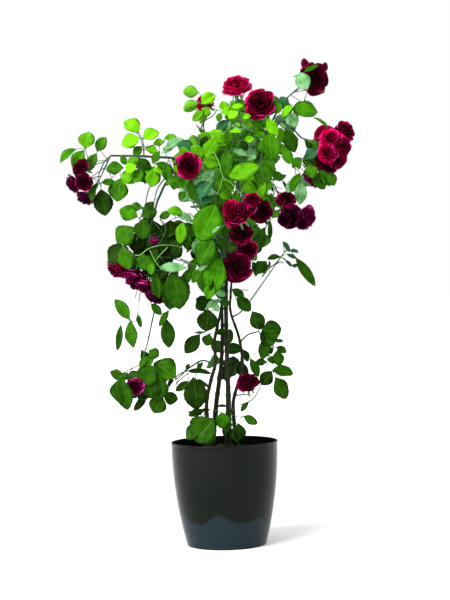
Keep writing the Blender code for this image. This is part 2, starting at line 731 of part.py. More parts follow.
class Growth:
    """The spray that is growing: its stem, its pieces, and the surfaces that it keeps clear of."""

    def __init__(self, name, spray, route, shapes, others):
        self.name = name
        self.spray = spray
        self.route = route
        self.shapes = shapes
        self.others = others
        self.rng = random.Random(name)
        self.pieces = []
        self.own = []

    def add(self, shape, place):
        self.pieces.append((shape, place))
        self.own.append(shape.surface(place))

    def twig(self, start, end, radius):
        way = (end - start).normalized()
        length = (end - start).length + STALK_ROOT
        place = set_along(start - way * STALK_ROOT, way, way.orthogonal(), radius, length, radius)
        if meets(self.shapes["twig"], place, self.others):
            return False
        self.add(self.shapes["twig"], place)
        return True

    def leaf(self, base, tip):
        """Adds the first of a few seeded tries that is clear all over, or the clear leaflets of the best."""
        size = self.spray.leaflet * MM
        best = []
        for attempt in range(LEAF_TRIES):
            aim = tip + jitter(self.rng, TRY_STEP * attempt)
            first, *rest = leaf_pieces(self.shapes, base, aim, size, self.spray.pairs, self.rng)
            if meets(*first, self.others if rest else self.others + self.own[1:]):
                continue
            clear = [one for one in rest if not meets(*one, self.others + self.own[1:])]
            if rest and not clear:
                continue
            if len(clear) + 1 > len(best):
                best = [first, *clear]
            if len(clear) == len(rest):
                break
        for shape, place in best:
            self.add(shape, place)
        return bool(best)

    def reach(self, tip):
        """A leaf that ends here, on a twig of its own where the stem is too far off."""
        share = branching_share(self.route, tip, None, self.rng)
        base, _ = along(self.route, share)
        way = tip - base
        spare = way.length - LEAF_REACH
        if spare > TWIG_LEAST:
            knee = base + way.normalized() * spare + Vector((0, 0, 0.1 * spare))
            if not self.twig(base, knee, TWIG_RADIUS):
                return False
            base = knee
        return self.leaf(base, tip)

    def bloom(self, bloom):
        """A rose or a bud at its place, on a stalk from the stem."""
        facing = Vector(bloom.facing).normalized()
        centre = in_metres(bloom.place)
        width = bloom.width * MM
        base, _ = along(self.route, branching_share(self.route, centre, facing, self.rng))
        if width > BUD_WIDTH:
            shape = self.shapes["bloom"]
            place = set_along(centre, facing.orthogonal(), facing, width, width, width)
        else:
            shape = self.shapes["leaflet"]
            length = BUD_LENGTH * width
            place = set_along(centre - facing * length / 2, facing, facing.orthogonal(), width, length, width)
        if meets(shape, place, self.others):
            return False
        if not self.twig(base, centre - facing * 0.1 * width, PEDICEL_RADIUS):
            return False
        self.add(shape, place)
        return True

    def filler(self, number):
        """A leaf that the rule adds along the stem, a turn of the spiral on from the last."""
        share = (number + 0.8) / (self.spray.filler + 0.8)
        base, direction = along(self.route, min(share, 0.97))
        across = direction.orthogonal().normalized()
        turn = Matrix.Rotation(PHYLLOTAXIS * (number + 1) + self.rng.uniform(0, 1), 3, direction)
        way = (turn @ across) * 0.85 + direction * 0.4 + Vector((0, 0, 0.15))
        return self.leaf(base, base + way.normalized() * self.spray.leaflet * MM)


def foot_clearance(mesh, start, limb_surface):
    """How far the foot of a stem is outside its limb, measured at the foot's corners, edges and middle."""
    corners = sorted((corner.co for corner in mesh.vertices), key=lambda co: (co - start).length)[:TWIG_SIDES]
    edges = [(first + second) / 2 for first, second in zip(corners, corners[1:] + corners[:1])]
    least = math.inf
    for point in [*corners, *edges, start]:
        nearest, normal, _, distance = limb_surface.find_nearest(point)
        least = min(least, distance if (point - nearest).dot(normal) > 0 else -distance)
    return least


def side_stem(name, spray, parent_route, radius, limb_surface):
    """Route and mesh of a stem beside its limb, slid out along its way until its foot is just clear."""
    end = in_metres(spray.stem)
    stem_radius = min(SIDE_STEM_RADIUS, radius)
    place, _ = along(parent_route, spray.share)
    way = (end - place).normalized()
    low, high = 0, 4 * radius
    while high - low > SEATING:
        out = (low + high) / 2
        start = place + way * out
        middle = start.lerp(end, 0.5) + Vector((0, 0, STEM_ARCH * (end - start).length))
        route = smooth_route([start, middle, end], STEM_STEP)
        mesh = tube_mesh(name, route, [stem_radius, TWIG_END], TWIG_SIDES)
        if foot_clearance(mesh, start, limb_surface) < GAP:
            low = out
            bpy.data.meshes.remove(mesh)
        else:
            high = out
            best = route, mesh
    return best


def tip_stem(name, spray, parent_route, radius):
    """Route and mesh of a stem that goes on from its limb's tip."""
    first, second = next_points(parent_route, 1)
    route = [first, *smooth_route([second, in_metres(spray.stem)], STEM_STEP)]
    return route, tube_mesh(name, route, [TIP_STEM_SHARE * radius, TWIG_END], TWIG_SIDES)


def make_stem(name, spray, routes, limb, limb_surface):
    radius = blend(radii_of(limb), spray.share)
    if spray.share == 1:
        return tip_stem(name, spray, routes[spray.limb], radius)
    return side_stem(name, spray, routes[spray.limb], radius, limb_surface)


# --- Joining a spray -------------------------------------------------------------------------------------


def placed(name, shape, place, collection):
    mesh = shape.mesh.copy()
    mesh.transform(place)
    piece = bpy.data.objects.new(name, mesh)
    collection.objects.link(piece)
    return piece


def keep_largest_body(mesh):
    """Drops loose scraps, and the skins of any hollow that the union sealed."""
    shape = bmesh.new()
    shape.from_mesh(mesh)
    left = set(shape.verts)
    bodies = []
    while left:
        body = {left.pop()}
        front = list(body)
        while front:
            corner = front.pop()
            for edge in corner.link_edges:
                other = edge.other_vert(corner)
                if other in left:
                    left.remove(other)
                    body.add(other)
                    front.append(other)
        bodies.append(body)
    bodies.sort(key=len)
    for body in bodies[:-1]:
        bmesh.ops.delete(shape, geom=list(body), context="VERTS")
    shape.to_mesh(mesh)
    shape.free()


def join_spray(growth, stem_mesh, parts):
    """One closed solid of the stem and everything on it."""
    spray = bpy.data.objects.new(growth.name, stem_mesh)
    parts.objects.link(spray)
    loose = bpy.data.collections.new("loose " + growth.name)
    bpy.context.scene.collection.children.link(loose)
    for i, (shape, place) in enumerate(growth.pieces):
        placed(f"loose {i}", shape, place, loose)
    union = spray.modifiers.new("Join", "BOOLEAN")
    union.operation = "UNION"
    union.operand_type = "COLLECTION"
    union.collection = loose
    union.solver = "EXACT"
    graph = bpy.context.evaluated_depsgraph_get()
    joined = bpy.data.meshes.new_from_object(spray.evaluated_get(graph))
    spray.modifiers.remove(union)
    for piece in list(loose.objects):
        bpy.data.objects.remove(piece)
    bpy.data.collections.remove(loose)
    keep_largest_body(joined)
    joined.name = growth.name
    spray.data = joined
    return spray


def surface_of(piece, graph):
    return BVHTree.FromObject(piece, graph)


def make_sprays(routes, limb_pieces, solid_pieces, parts, finishes):
    limbs = {**CANES, **BOUGHS}
    shapes = {
        "leaflet": Shape("leaflet", unit_leaflet(), finishes["green"]),
        "twig": Shape("twig", unit_twig(), finishes["green"]),
        "bloom": Shape("bloom", unit_bloom(), finishes["petal"]),
    }
    graph = bpy.context.evaluated_depsgraph_get()
    surfaces = {name: surface_of(piece, graph) for name, piece in limb_pieces.items()}
    solids = [*surfaces.values(), *(surface_of(piece, graph) for piece in solid_pieces)]
    stems = {}
    growths = {}
    for name, spray in SPRAYS.items():
        route, mesh = make_stem(name, spray, routes, limbs[spray.limb], surfaces[spray.limb])
        mesh.materials.append(finishes["green"])
        stems[name] = mesh
        growths[name] = Growth(name, spray, route, shapes, list(solids))
        corners = [corner.co for corner in mesh.vertices]
        growths[name].own.append(
            BVHTree.FromPolygons(corners, [tuple(face.vertices) for face in mesh.polygons])
        )
    for step in ("blooms", "reaches", "filler"):
        for name, growth in growths.items():
            growth.others = solids + [
                surface for other in growths.values() if other is not growth for surface in other.own
            ]
            skipped = grow(growth, step)
            if skipped:
                print(name, step, "left out:", skipped)
    return [join_spray(growth, stems[name], parts) for name, growth in growths.items()]


def grow(growth, step):
    """Adds the blooms, the reaching leaves or the filling leaves, and names what found no room."""
    if step == "blooms":
        return [bloom.place for bloom in growth.spray.blooms if not growth.bloom(bloom)]
    if step == "reaches":
        return [tip for tip in growth.spray.reaches if not growth.reach(in_metres(tip))]
    return [number for number in range(growth.spray.filler) if not growth.filler(number)]


# --- The whole plant -------------------------------------------------------------------------------------


def clear_scene():
    for piece in list(bpy.data.objects):
        bpy.data.objects.remove(piece)


def new_collection(name):
    made = bpy.data.collections.new(name)
    bpy.context.scene.collection.children.link(made)
    return made


def main():
    clear_scene()
    parts = new_collection("potted rose bush")
    cutters = new_collection("cutters")
    finishes = make_materials()
    pot = make_pot(parts, finishes["pot"])
    soil = make_soil(parts, finishes["soil"])
    routes = limb_routes()
    limb_pieces = make_limbs(routes, parts, cutters, finishes["bark"])
    make_sprays(routes, limb_pieces, [pot, soil], parts, finishes)


main()
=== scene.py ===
"""The looks of the potted rose bush.

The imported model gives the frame. Its canes and boughs get a skin of bark, and its pot and soil a fine finish.
Each mass of foliage gives way to twigs, leaves and roses that grow from the same limbs by the same rule,
which is carried on to more and finer leaves within the same reach.
"""

import json
import math
import random
from collections import namedtuple

import bmesh
import bpy
import numpy as np
from mathutils import Matrix, Vector
from mathutils import noise as field
from mathutils.bvhtree import BVHTree

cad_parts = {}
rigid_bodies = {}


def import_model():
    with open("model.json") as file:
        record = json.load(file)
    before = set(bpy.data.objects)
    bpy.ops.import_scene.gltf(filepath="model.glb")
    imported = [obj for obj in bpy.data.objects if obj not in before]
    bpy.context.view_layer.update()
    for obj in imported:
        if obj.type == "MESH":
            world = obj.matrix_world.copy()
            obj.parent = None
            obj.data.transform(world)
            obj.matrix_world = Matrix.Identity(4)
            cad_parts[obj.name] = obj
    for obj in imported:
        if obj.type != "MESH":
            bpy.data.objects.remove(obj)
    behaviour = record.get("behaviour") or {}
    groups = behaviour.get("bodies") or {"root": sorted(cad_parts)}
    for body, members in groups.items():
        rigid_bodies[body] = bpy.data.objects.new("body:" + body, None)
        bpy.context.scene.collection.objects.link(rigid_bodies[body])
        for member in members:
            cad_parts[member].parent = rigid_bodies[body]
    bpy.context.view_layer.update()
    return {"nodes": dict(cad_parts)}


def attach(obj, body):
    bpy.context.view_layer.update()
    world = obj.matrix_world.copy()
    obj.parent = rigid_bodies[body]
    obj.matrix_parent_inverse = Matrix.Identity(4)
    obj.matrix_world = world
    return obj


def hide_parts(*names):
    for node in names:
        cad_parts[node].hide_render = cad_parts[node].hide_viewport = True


BODY = "root"
MM = 0.001
GAP = 0.3 * MM  # between neighbouring pieces

# The pot: walls that stand nearly upright at the rim and curve in to the base.
POT_HEIGHT = 0.250
POT_RIM_RADIUS = 0.130
POT_BASE_RADIUS = 0.0965
POT_CURVE = 2.05  # power of the wall's curve: 1 is a plain cone
POT_WALL = 0.003
POT_LIP = 0.0015  # how far the rim's bead stands proud of the wall
POT_LIP_HEIGHT = 0.005
POT_FOOT_BEVEL = 0.004

# The soil: a low mound of root ball round the canes, and a flat skirt below the rim.
SOIL_CROWN = 0.236
SOIL_CROWN_RADIUS = 0.045
SOIL_SKIRT = 0.208
SOIL_SKIRT_RADIUS = 0.085

# Limbs and stems: how finely the solids follow their routes, and how many sides a twig has.
LIMB_STEP = 0.050
UPRIGHT_FOOT = 0.008  # how far a cane rises straight from the soil
NEXT_STEP = 0.006  # how straight a limb goes on from its parent's tip
TWIG_SIDES = 3
STEM_STEP = 0.045

# Leaves: a rose leaf is a stalk with one leaflet at its end and up to two pairs below it.
LEAFLET_WIDTH = 0.80  # of its length
LEAFLET_WIDTHS = (0.92, 1.08)  # of that, from the narrowest to the widest
LEAFLET_WIDEST = 0.48  # the share of its length where it is widest
LEAFLET_THICKNESS = 0.026  # of its length
LEAFLET_ROOT = 0.0004  # how far a leaflet's root runs past the middle of its stalk
LEAFLET_SPREAD = math.radians(60)  # between a side leaflet and the stalk
END_LEAFLET_SHARE = 0.6  # the most of a leaf that its end leaflet takes
END_STALK = 0.011  # from the last pair to the end leaflet
PAIR_SPACING = 0.023
LEAF_REACH = 0.122  # the longest leaf, and what is further off is carried on a twig
TWIG_RADIUS = 0.0012
TWIG_END = 0.0008
TWIG_TAPER = 0.65  # of its foot's radius
SIDE_STEM_RADIUS = 0.0015
TIP_STEM_SHARE = 0.95  # of the radius of the limb's tip that the stem goes on from
STEM_ARCH = 0.04  # rise of a side stem's middle, as a share of its length
STALK_RADIUS = 0.0011
STALK_ROOT = 0.0009  # how far a stalk or twig starts behind the middle of what holds it
STEM_END = 0.96  # the furthest share of a stem that still takes a root
PEDICEL_RADIUS = 0.0012
BRANCH_ANGLE = math.radians(45)
BRANCH_PLACES = 12  # along a stem, of which the first ones stay free
FIRST_BRANCH = 3
BRANCH_LENGTH_COST = 4  # per metre, against a radian off the branching angle
BRANCH_CHANCE = 0.15
FACING_SLACK = 1.2  # how far from its facing, in radians, a rose's stalk may come in
KNEE_RISE = 0.1  # how far a twig's end is lifted, as a share of its length
ROSE_SEAT = 0.1  # how far behind its middle a rose is held, as a share of its width
LEAF_TRIES = 7
SINGLE_LEAF = 1.3  # a leaf no longer than this many leaflets is one leaflet on the twig itself
BUD_WIDTH = 0.032  # a rose no wider than this is still a bud
BUD_LENGTH = 1.5  # of its width
PHYLLOTAXIS = math.radians(137.5)
LEAF_TWIST = 0.45  # how unevenly whole leaves face the light
LEAFLET_TWIST = 0.22  # and each leaflet of one leaf
LEAFLET_DROOP = 0.08
SPREAD_TWIST = 0.12  # how unevenly side leaflets are spread, in radians
PAIR_SIZES = (0.92, 0.80)  # side leaflets against the end one, the pair next to it first
PAIR_OFFSET = 0.0022  # the two leaflets of a pair aren't quite opposite
FIRST_PAIR = 0.007  # the bare foot of a leaf's stalk
TWIG_LEAST = 0.012  # a twig shorter than this is left out
TRY_STEP = 0.006  # how much further from its place each new try may look
FILLER_START = 0.8  # how far up the stem the first added leaf is, in steps between them
FILLER_END = 0.97
FILLER_WAY = (0.85, 0.4, 0.15)  # how much an added leaf points outwards, along its stem and up
FRONT_DEPTH = 0.06  # nearer than this to the camera, leaves turn to the window in front
FRONT_LIGHT = (0.5, -0.1, -1, 0.45)  # how the way to the light fans out with x, and its x, y and z
BACK_LIGHT = (1.5, 0, 1, 0.5)
ROSE_SIDES = 7
ROSE_RINGS = 3
ROSE_DOME = 0.55  # height of a rose's dome and of its cup, as shares of half its width
ROSE_CUP = 0.8
ROSE_WAIST = -0.1  # below this it is drawn in to ROSE_FOOT
ROSE_FOOT = 0.8

Limb = namedtuple("Limb", "parent share radii points")
Spray = namedtuple("Spray", "limb share stem leaflet pairs filler leaf_tones rose_tones reaches blooms")
Bloom = namedtuple("Bloom", "place facing width")

# Canes stand in the soil. Points are in millimetres from the origin, foot first.
CANES = {
    "cane_main": Limb(None, 0, (8, 5.5, 5, 4), [(9, 0, 0), (12, 0, 330), (12, 0, 590), (23, 0, 748)]),
    "cane_left_inner": Limb(
        None, 0, (6.5, 5, 3), [(-28, 12, 0), (-16, 12, 350), (-8, 12, 400), (0, 11, 480), (3, 11, 627)]
    ),
    "cane_left_outer": Limb(
        None,
        0,
        (6.5, 4.5, 4, 2.8),
        [(-38, -10, 0), (-40, -10, 350), (-17, -10, 440), (-18, -10, 490), (0, -11, 570), (5, -12, 616)],
    ),
    "cane_right": Limb(
        None,
        0,
        (5.5, 4, 3.5, 2.5),
        [(29, 12, 0), (24, 12, 343), (48, 15, 425), (43, 15, 493), (23, 13, 560), (27, 13, 639)],
    ),
}

# Boughs leave their parent at a share of its length. At share 1 they go on from its tip.
BOUGHS = {
    "bough_far_left": Limb("cane_main", 0.84, (3.5, 2.8), [(-17, 30, 781), (-54, 50, 890), (-105, 50, 936)]),
    "bough_far_left_tip": Limb("bough_far_left", 1, (2.8, 2.0), [(-190, 40, 946), (-254, 30, 948)]),
    "bough_left": Limb("cane_left_inner", 1, (3, 2.6), [(-13, -30, 748), (-36, -60, 843), (-73, -70, 884)]),
    "bough_left_crest": Limb("bough_left", 1, (2.6, 2.3), [(-118, -80, 878), (-140, -94, 838)]),
    "bough_left_low": Limb("bough_left_crest", 1, (2.3, 1.9), [(-160, -104, 770), (-164, -98, 710)]),
    "bough_hanging": Limb(
        "bough_left_low", 1, (1.8, 1.4), [(-152, -66, 640), (-157, -58, 584), (-177, -52, 497)]
    ),
    "bough_top": Limb("cane_main", 1, (3.8, 2.2), [(42, 10, 845), (60, 2, 930), (62, -8, 985)]),
    "bough_top_left": Limb("bough_top", 0.32, (2.2, 1.6), [(10, 60, 909), (-22, 92, 973), (-32, 100, 1005)]),
    "bough_top_back": Limb("bough_top", 0.55, (2.2, 1.6), [(72, 55, 940), (84, 95, 1000)]),
    "bough_top_right": Limb("cane_main", 0.95, (3, 1.8), [(52, 20, 821), (124, 15, 1001), (164, 10, 1067)]),
    "bough_right_upper": Limb("bough_top_right", 0.70, (2.0, 1.5), [(160, 0, 1018), (200, -20, 979)]),
    "bough_right_mid": Limb("bough_top_right", 0.46, (2.0, 1.5), [(122, -30, 948), (169, -30, 931)]),
    "bough_right_low": Limb("cane_main", 0.80, (2.6, 1.8), [(64, 50, 797), (108, 80, 858), (132, 80, 868)]),
    "bough_front": Limb("cane_main", 0.92, (2.6, 1.8), [(31, -60, 794), (46, -130, 850)]),
    "bough_front_left": Limb("cane_main", 0.87, (2.6, 1.8), [(-14, -80, 795), (-52, -152, 880)]),
    "bough_front_low": Limb("cane_left_outer", 1, (2.8, 1.8), [(-8, -66, 683), (-15, -116, 722)]),
    "bough_back_left": Limb("cane_main", 0.90, (2.8, 1.8), [(7, 90, 775), (-9, 165, 865), (-25, 205, 915)]),
    "bough_back_right": Limb("cane_right", 1, (2.5, 1.8), [(47, 100, 786), (80, 165, 860), (96, 195, 900)]),
    "bough_back_low": Limb("bough_back_right", 0.2, (2.0, 1.5), [(44, 120, 712), (56, 190, 738)]),
    "bough_right_thin": Limb("cane_right", 0.78, (1.8, 1.4), [(45, -12, 560), (68, -26, 586)]),
    "bough_right_hang": Limb("cane_right", 0.62, (1.8, 1.4), [(62, 4, 505), (84, -4, 512)]),
    "bough_low_left": Limb(
        "cane_left_outer", 0.52, (2.0, 1.4), [(-47, -16, 447), (-80, -16, 430), (-104, -16, 410)]
    ),
}

# Sprays: limb and share as for a bough, where the stem ends, leaflet length, pairs of side leaflets, how many
# leaves the rule adds along the stem, the tone of each reaching leaf and each rose, where the leaves at the
# crown's edge reach to, and the roses.
SPRAYS = {
    "foliage_far_left": Spray(
        "bough_far_left_tip", 1, (-290, 20, 885), 42, 2, 0, "bbkgb", "ruru",
        [(-383, 30, 948), (-320, 52, 1007), (-272, -12, 808), (-239, -20, 843), (-303, 125, 945)],
        [
            Bloom((-335, 0, 920), (-0.7, -0.6, 0.3), 52),
            Bloom((-357, 20, 880), (-0.8, -0.3, -0.4), 50),
            Bloom((-322, -35, 882), (-0.2, -0.9, -0.2), 46),
            Bloom((-325, 10, 843), (-0.4, -0.4, -0.8), 48),
        ],
    ),
    "foliage_upper_left": Spray(
        "bough_far_left_tip", 0.5, (-180, 18, 985), 42, 2, 0, "llbb", "",
        [(-221, 5, 1032), (-145, 10, 1007), (-223, -40, 969), (-161, 100, 997)],
        [],
    ),
    "foliage_left_upper": Spray(
        "bough_left_crest", 0.3, (-115, -108, 925), 44, 1, 0, "bblgmb", "",
        [
            (-140, -105, 995), (-72, -62, 995), (-150, -120, 905), (-75, -115, 856),
            (-235, -90, 916), (-193, -110, 876),
        ],
        [],
    ),
    "foliage_left_cluster": Spray(
        "bough_left_low", 0.35, (-180, -150, 768), 54, 1, 0, "dgkkkdm", "u",
        [
            (-225, -120, 822), (-120, -140, 742), (-239, -130, 759), (-263, -115, 692),
            (-165, -190, 690), (-209, -160, 674), (-170, -60, 828),
        ],
        [Bloom((-150, -172, 735), (0.1, -0.9, 0.3), 20)],
    ),
    "foliage_left_inner": Spray(
        "bough_left", 0.36, (-68, -80, 800), 56, 1, 0, "dkk", "",
        [(-122, -110, 758), (-102, -118, 706), (-51, -105, 701)],
        [],
    ),
    "foliage_left_fall": Spray(
        "bough_left_low", 0.92, (-118, -132, 672), 56, 1, 0, "ddk", "",
        [(-113, -165, 581), (-66, -100, 670), (-140, -160, 651)],
        [],
    ),
    "foliage_left_roses": Spray(
        "bough_hanging", 0.22, (-192, -70, 672), 58, 0, 0, "pddd", "muur",
        [(-118, -105, 590), (-217, -115, 552), (-211, -110, 491), (-124, -60, 486)],
        [
            Bloom((-245, -100, 670), (-0.5, -0.7, -0.4), 58),
            Bloom((-196, -116, 640), (-0.2, -0.85, -0.3), 64),
            Bloom((-150, -108, 604), (-0.1, -0.6, -0.6), 62),
            Bloom((-140, -20, 630), (0.2, 0.6, -0.4), 54),
        ],
    ),
    "foliage_low_left": Spray(
        "bough_hanging", 1, (-196, -50, 440), 50, 1, 0, "mdddd", "mr",
        [(-156, -40, 479), (-170, -85, 370), (-235, -55, 333), (-168, -15, 330), (-207, -5, 333)],
        [Bloom((-210, -72, 390), (-0.1, -0.85, -0.3), 46), Bloom((-251, -40, 419), (-0.3, -0.2, 0.9), 20)],
    ),
    "foliage_top_left": Spray(
        "bough_top_left", 1, (-30, 92, 1040), 42, 1, 0, "lllbbl", "s",
        [
            (-74, 85, 1112), (-72, 70, 1062), (-8, 60, 1086), (-24, 30, 988),
            (19, 105, 1075), (-40, 150, 1090),
        ],
        [Bloom((-32, 74, 1076), (-0.6, -0.7, 0.3), 52)],
    ),
    "foliage_top": Spray(
        "bough_top", 1, (55, -20, 1035), 42, 1, 0, "llplml", "sc",
        [(0, -40, 1020), (15, -25, 1062), (50, -90, 1000), (88, 55, 1030), (112, -65, 985), (20, 30, 1075)],
        [Bloom((49, -22, 1110), (-0.05, -0.6, 0.8), 74), Bloom((101, -60, 1060), (-0.15, -0.95, 0.2), 80)],
    ),
    "foliage_top_right": Spray(
        "bough_top_right", 1, (205, 2, 1104), 46, 1, 0, "ggbp", "rruc",
        [(244, -20, 1036), (124, -40, 1039), (265, 55, 1113), (180, 80, 995)],
        [
            Bloom((243, 0, 1120), (0.8, -0.6, 0), 80),
            Bloom((217, 5, 1155), (-0.2, -0.1, 0.95), 20),
            Bloom((264, 22, 1148), (0.3, 0.1, 0.9), 18),
            Bloom((238, 62, 1124), (-0.1, 0.9, 0.4), 54),
        ],
    ),
    "foliage_right_upper": Spray(
        "bough_right_upper", 1, (245, -20, 965), 46, 1, 0, "gb", "cscs",
        [(226, -40, 900), (278, 80, 953)],
        [
            Bloom((311, -20, 991), (0.6, -0.7, 0.3), 58),
            Bloom((281, -54, 953), (0.1, -0.95, 0.1), 74),
            Bloom((262, -32, 912), (0, -0.9, -0.2), 62),
            Bloom((261, -5, 988), (-0.1, -0.8, 0.5), 56),
        ],
    ),
    "foliage_right_mid": Spray(
        "bough_right_mid", 1, (208, -20, 908), 42, 1, 0, "gpbg", "m",
        [(278, -45, 868), (196, -25, 825), (150, -45, 1000), (232, 80, 880)],
        [Bloom((237, 5, 872), (0.2, -0.3, -0.8), 58)],
    ),
    "foliage_right_low": Spray(
        "bough_right_low", 1, (152, 70, 832), 46, 1, 0, "gggmb", "cumc",
        [(125, 52, 905), (88, 20, 710), (100, 10, 790), (184, 140, 854), (120, 140, 800)],
        [
            Bloom((165, 38, 836), (0, -0.75, 0.6), 50),
            Bloom((173, 38, 784), (-0.1, -0.85, -0.4), 66),
            Bloom((220, 55, 786), (0.7, -0.5, -0.2), 62),
            Bloom((182, 130, 801), (0.4, 0.8, 0.2), 58),
        ],
    ),
    "foliage_front": Spray(
        "bough_front", 1, (55, -172, 840), 60, 1, 0, "bbmbgm", "crcrc",
        [
            (90, -205, 900), (15, -195, 925), (101, -190, 852), (5, -215, 835),
            (-5, -205, 775), (132, -130, 918),
        ],
        [
            Bloom((40, -212, 795), (-0.35, -0.6, 0.5), 70),
            Bloom((99, -192, 800), (0.3, -0.9, 0.2), 62),
            Bloom((77, -222, 824), (-0.1, -0.8, 0.5), 40),
            Bloom((50, -182, 750), (-0.1, -0.9, 0.1), 56),
            Bloom((66, -150, 708), (0.3, -0.85, -0.2), 52),
        ],
    ),
    "foliage_front_low": Spray(
        "bough_front_low", 1, (0, -170, 712), 60, 1, 0, "bgmgm", "r",
        [(-35, -215, 762), (-42, -175, 665), (-12, -165, 612), (-73, -145, 636), (70, -120, 772)],
        [Bloom((40, -192, 672), (0.1, -0.95, 0.1), 74)],
    ),
    "foliage_front_left": Spray(
        "bough_front_left", 1, (-70, -200, 880), 50, 1, 0, "bpgbm", "c",
        [(-80, -190, 948), (-60, -200, 826), (-135, -190, 882), (-20, -200, 940), (-32, -195, 752)],
        [Bloom((-66, -236, 904), (0, -0.97, 0.1), 62)],
    ),
    "foliage_crown": Spray(
        "bough_top", 0.72, (32, 30, 965), 52, 1, 0, "lpgdm", "",
        [(-12, 0, 1003), (60, 45, 990), (-20, -20, 935), (95, 25, 955), (35, -60, 935)],
        [],
    ),
    "foliage_inner": Spray(
        "bough_left", 0.55, (-62, -40, 860), 52, 1, 0, "dpd", "",
        [(-95, -20, 935), (-15, -60, 905), (-29, 20, 801)],
        [],
    ),
    "foliage_back_left": Spray(
        "bough_back_left", 1, (-52, 235, 945), 56, 1, 1, "bmgm", "cr",
        [(-125, 250, 985), (-60, 280, 1010), (-110, 215, 885), (-20, 290, 905)],
        [Bloom((-35, 285, 960), (-0.1, 0.95, 0.2), 68), Bloom((-95, 262, 930), (-0.5, 0.8, 0), 58)],
    ),
    "foliage_back_right": Spray(
        "bough_back_right", 1, (84, 218, 945), 56, 1, 1, "mbgg", "rc",
        [(142, 235, 1002), (85, 258, 1020), (112, 225, 885), (50, 275, 885)],
        [Bloom((92, 272, 955), (0.3, 0.95, 0.1), 68), Bloom((28, 282, 918), (-0.2, 0.95, 0), 56)],
    ),
    "foliage_back_low": Spray(
        "bough_back_low", 1, (62, 225, 735), 56, 1, 1, "gmgg", "c",
        [(5, 235, 785), (120, 235, 775), (30, 250, 670), (95, 240, 660)],
        [Bloom((62, 272, 765), (0, 0.95, 0.2), 64)],
    ),
    "foliage_top_back": Spray(
        "bough_top_back", 1, (88, 125, 1035), 50, 1, 1, "lbmb", "s",
        [(40, 140, 1085), (135, 130, 1075), (90, 175, 1000), (145, 105, 1020)],
        [Bloom((95, 145, 1075), (0.1, 0.7, 0.7), 64)],
    ),
    "foliage_right_thin": Spray(
        "bough_right_thin", 1, (154, -40, 702), 38, 1, 0, "dpd", "",
        [(34, -45, 615), (216, -45, 630), (81, -60, 681)],
        [],
    ),
    "foliage_right_hang": Spray(
        "bough_right_hang", 1, (112, -10, 455), 46, 1, 0, "dddddk", "",
        [(93, 10, 523), (133, -20, 512), (154, 0, 467), (169, -22, 412), (150, -20, 352), (97, 0, 383)],
        [],
    ),
    "foliage_stem_left": Spray(
        "cane_left_outer", 0.88, (-38, -32, 592), 46, 1, 0, "dpdkd", "",
        [(-65, -50, 582), (-28, -62, 525), (5, -55, 622), (-85, -20, 478), (-14, 20, 506)],
        [],
    ),
    "foliage_low_left_twig": Spray(
        "bough_low_left", 1, (-124, -20, 398), 48, 1, 0, "gddd", "",
        [(-150, -30, 440), (-182, 10, 392), (-155, -35, 332), (-120, 30, 350)],
        [],
    ),
    "foliage_low_left_stem": Spray(
        "bough_low_left", 0.45, (-66, -46, 400), 58, 1, 0, "dkd", "",
        [(-70, -64, 338), (-105, -50, 378), (-33, -62, 398)],
        [],
    ),
    "foliage_low_rose": Spray(
        "cane_right", 0.30, (66, -28, 362), 46, 1, 0, "d", "r",
        [(53, -60, 332)],
        [Bloom((60, -50, 398), (-0.1, -0.6, 0.75), 58)],
    ),
    "foliage_foot_left": Spray(
        "cane_left_outer", 0.14, (-58, -42, 322), 54, 1, 0, "kkd", "",
        [(-58, -86, 276), (-81, -60, 283), (-22, -56, 330)],
        [],
    ),
    "foliage_foot_right": Spray(
        "cane_main", 0.12, (24, -34, 330), 50, 1, 0, "kd", "",
        [(34, -54, 252), (81, -55, 297)],
        [],
    ),
    "foliage_low_back": Spray(
        "cane_left_inner", 0.5, (0, 46, 450), 54, 1, 0, "dkgk", "",
        [(20, 60, 520), (50, 60, 420), (-45, 60, 440), (10, 70, 375)],
        [],
    ),
}

# Tones that the sprays and the tables below name by a letter. The greens are partly the leaves' own tones
# and partly painted light: lime is painted backlight, bright painted sunlight, dark and deep painted shade
# inside and low in the crown, pale a painted highlight and teal a painted sheen.
LEAF_TONE_NAMES = {
    "l": "lime", "b": "bright", "m": "mid", "g": "green", "d": "dark", "k": "deep", "p": "pale", "t": "teal",
}
# Of the roses' tones, maroon and purple are partly the roses' own colour and partly painted shade, for roses
# that sit in shade.
BLOOM_TONE_NAMES = {"s": "scarlet", "c": "crimson", "r": "maroon", "u": "purple", "m": "magenta"}

# Places chosen over the photo: pixels to the right and down, and a guessed depth, since one photo
# shows none. The depth is in millimetres behind the pot's middle, and below 0 it is nearer the camera.

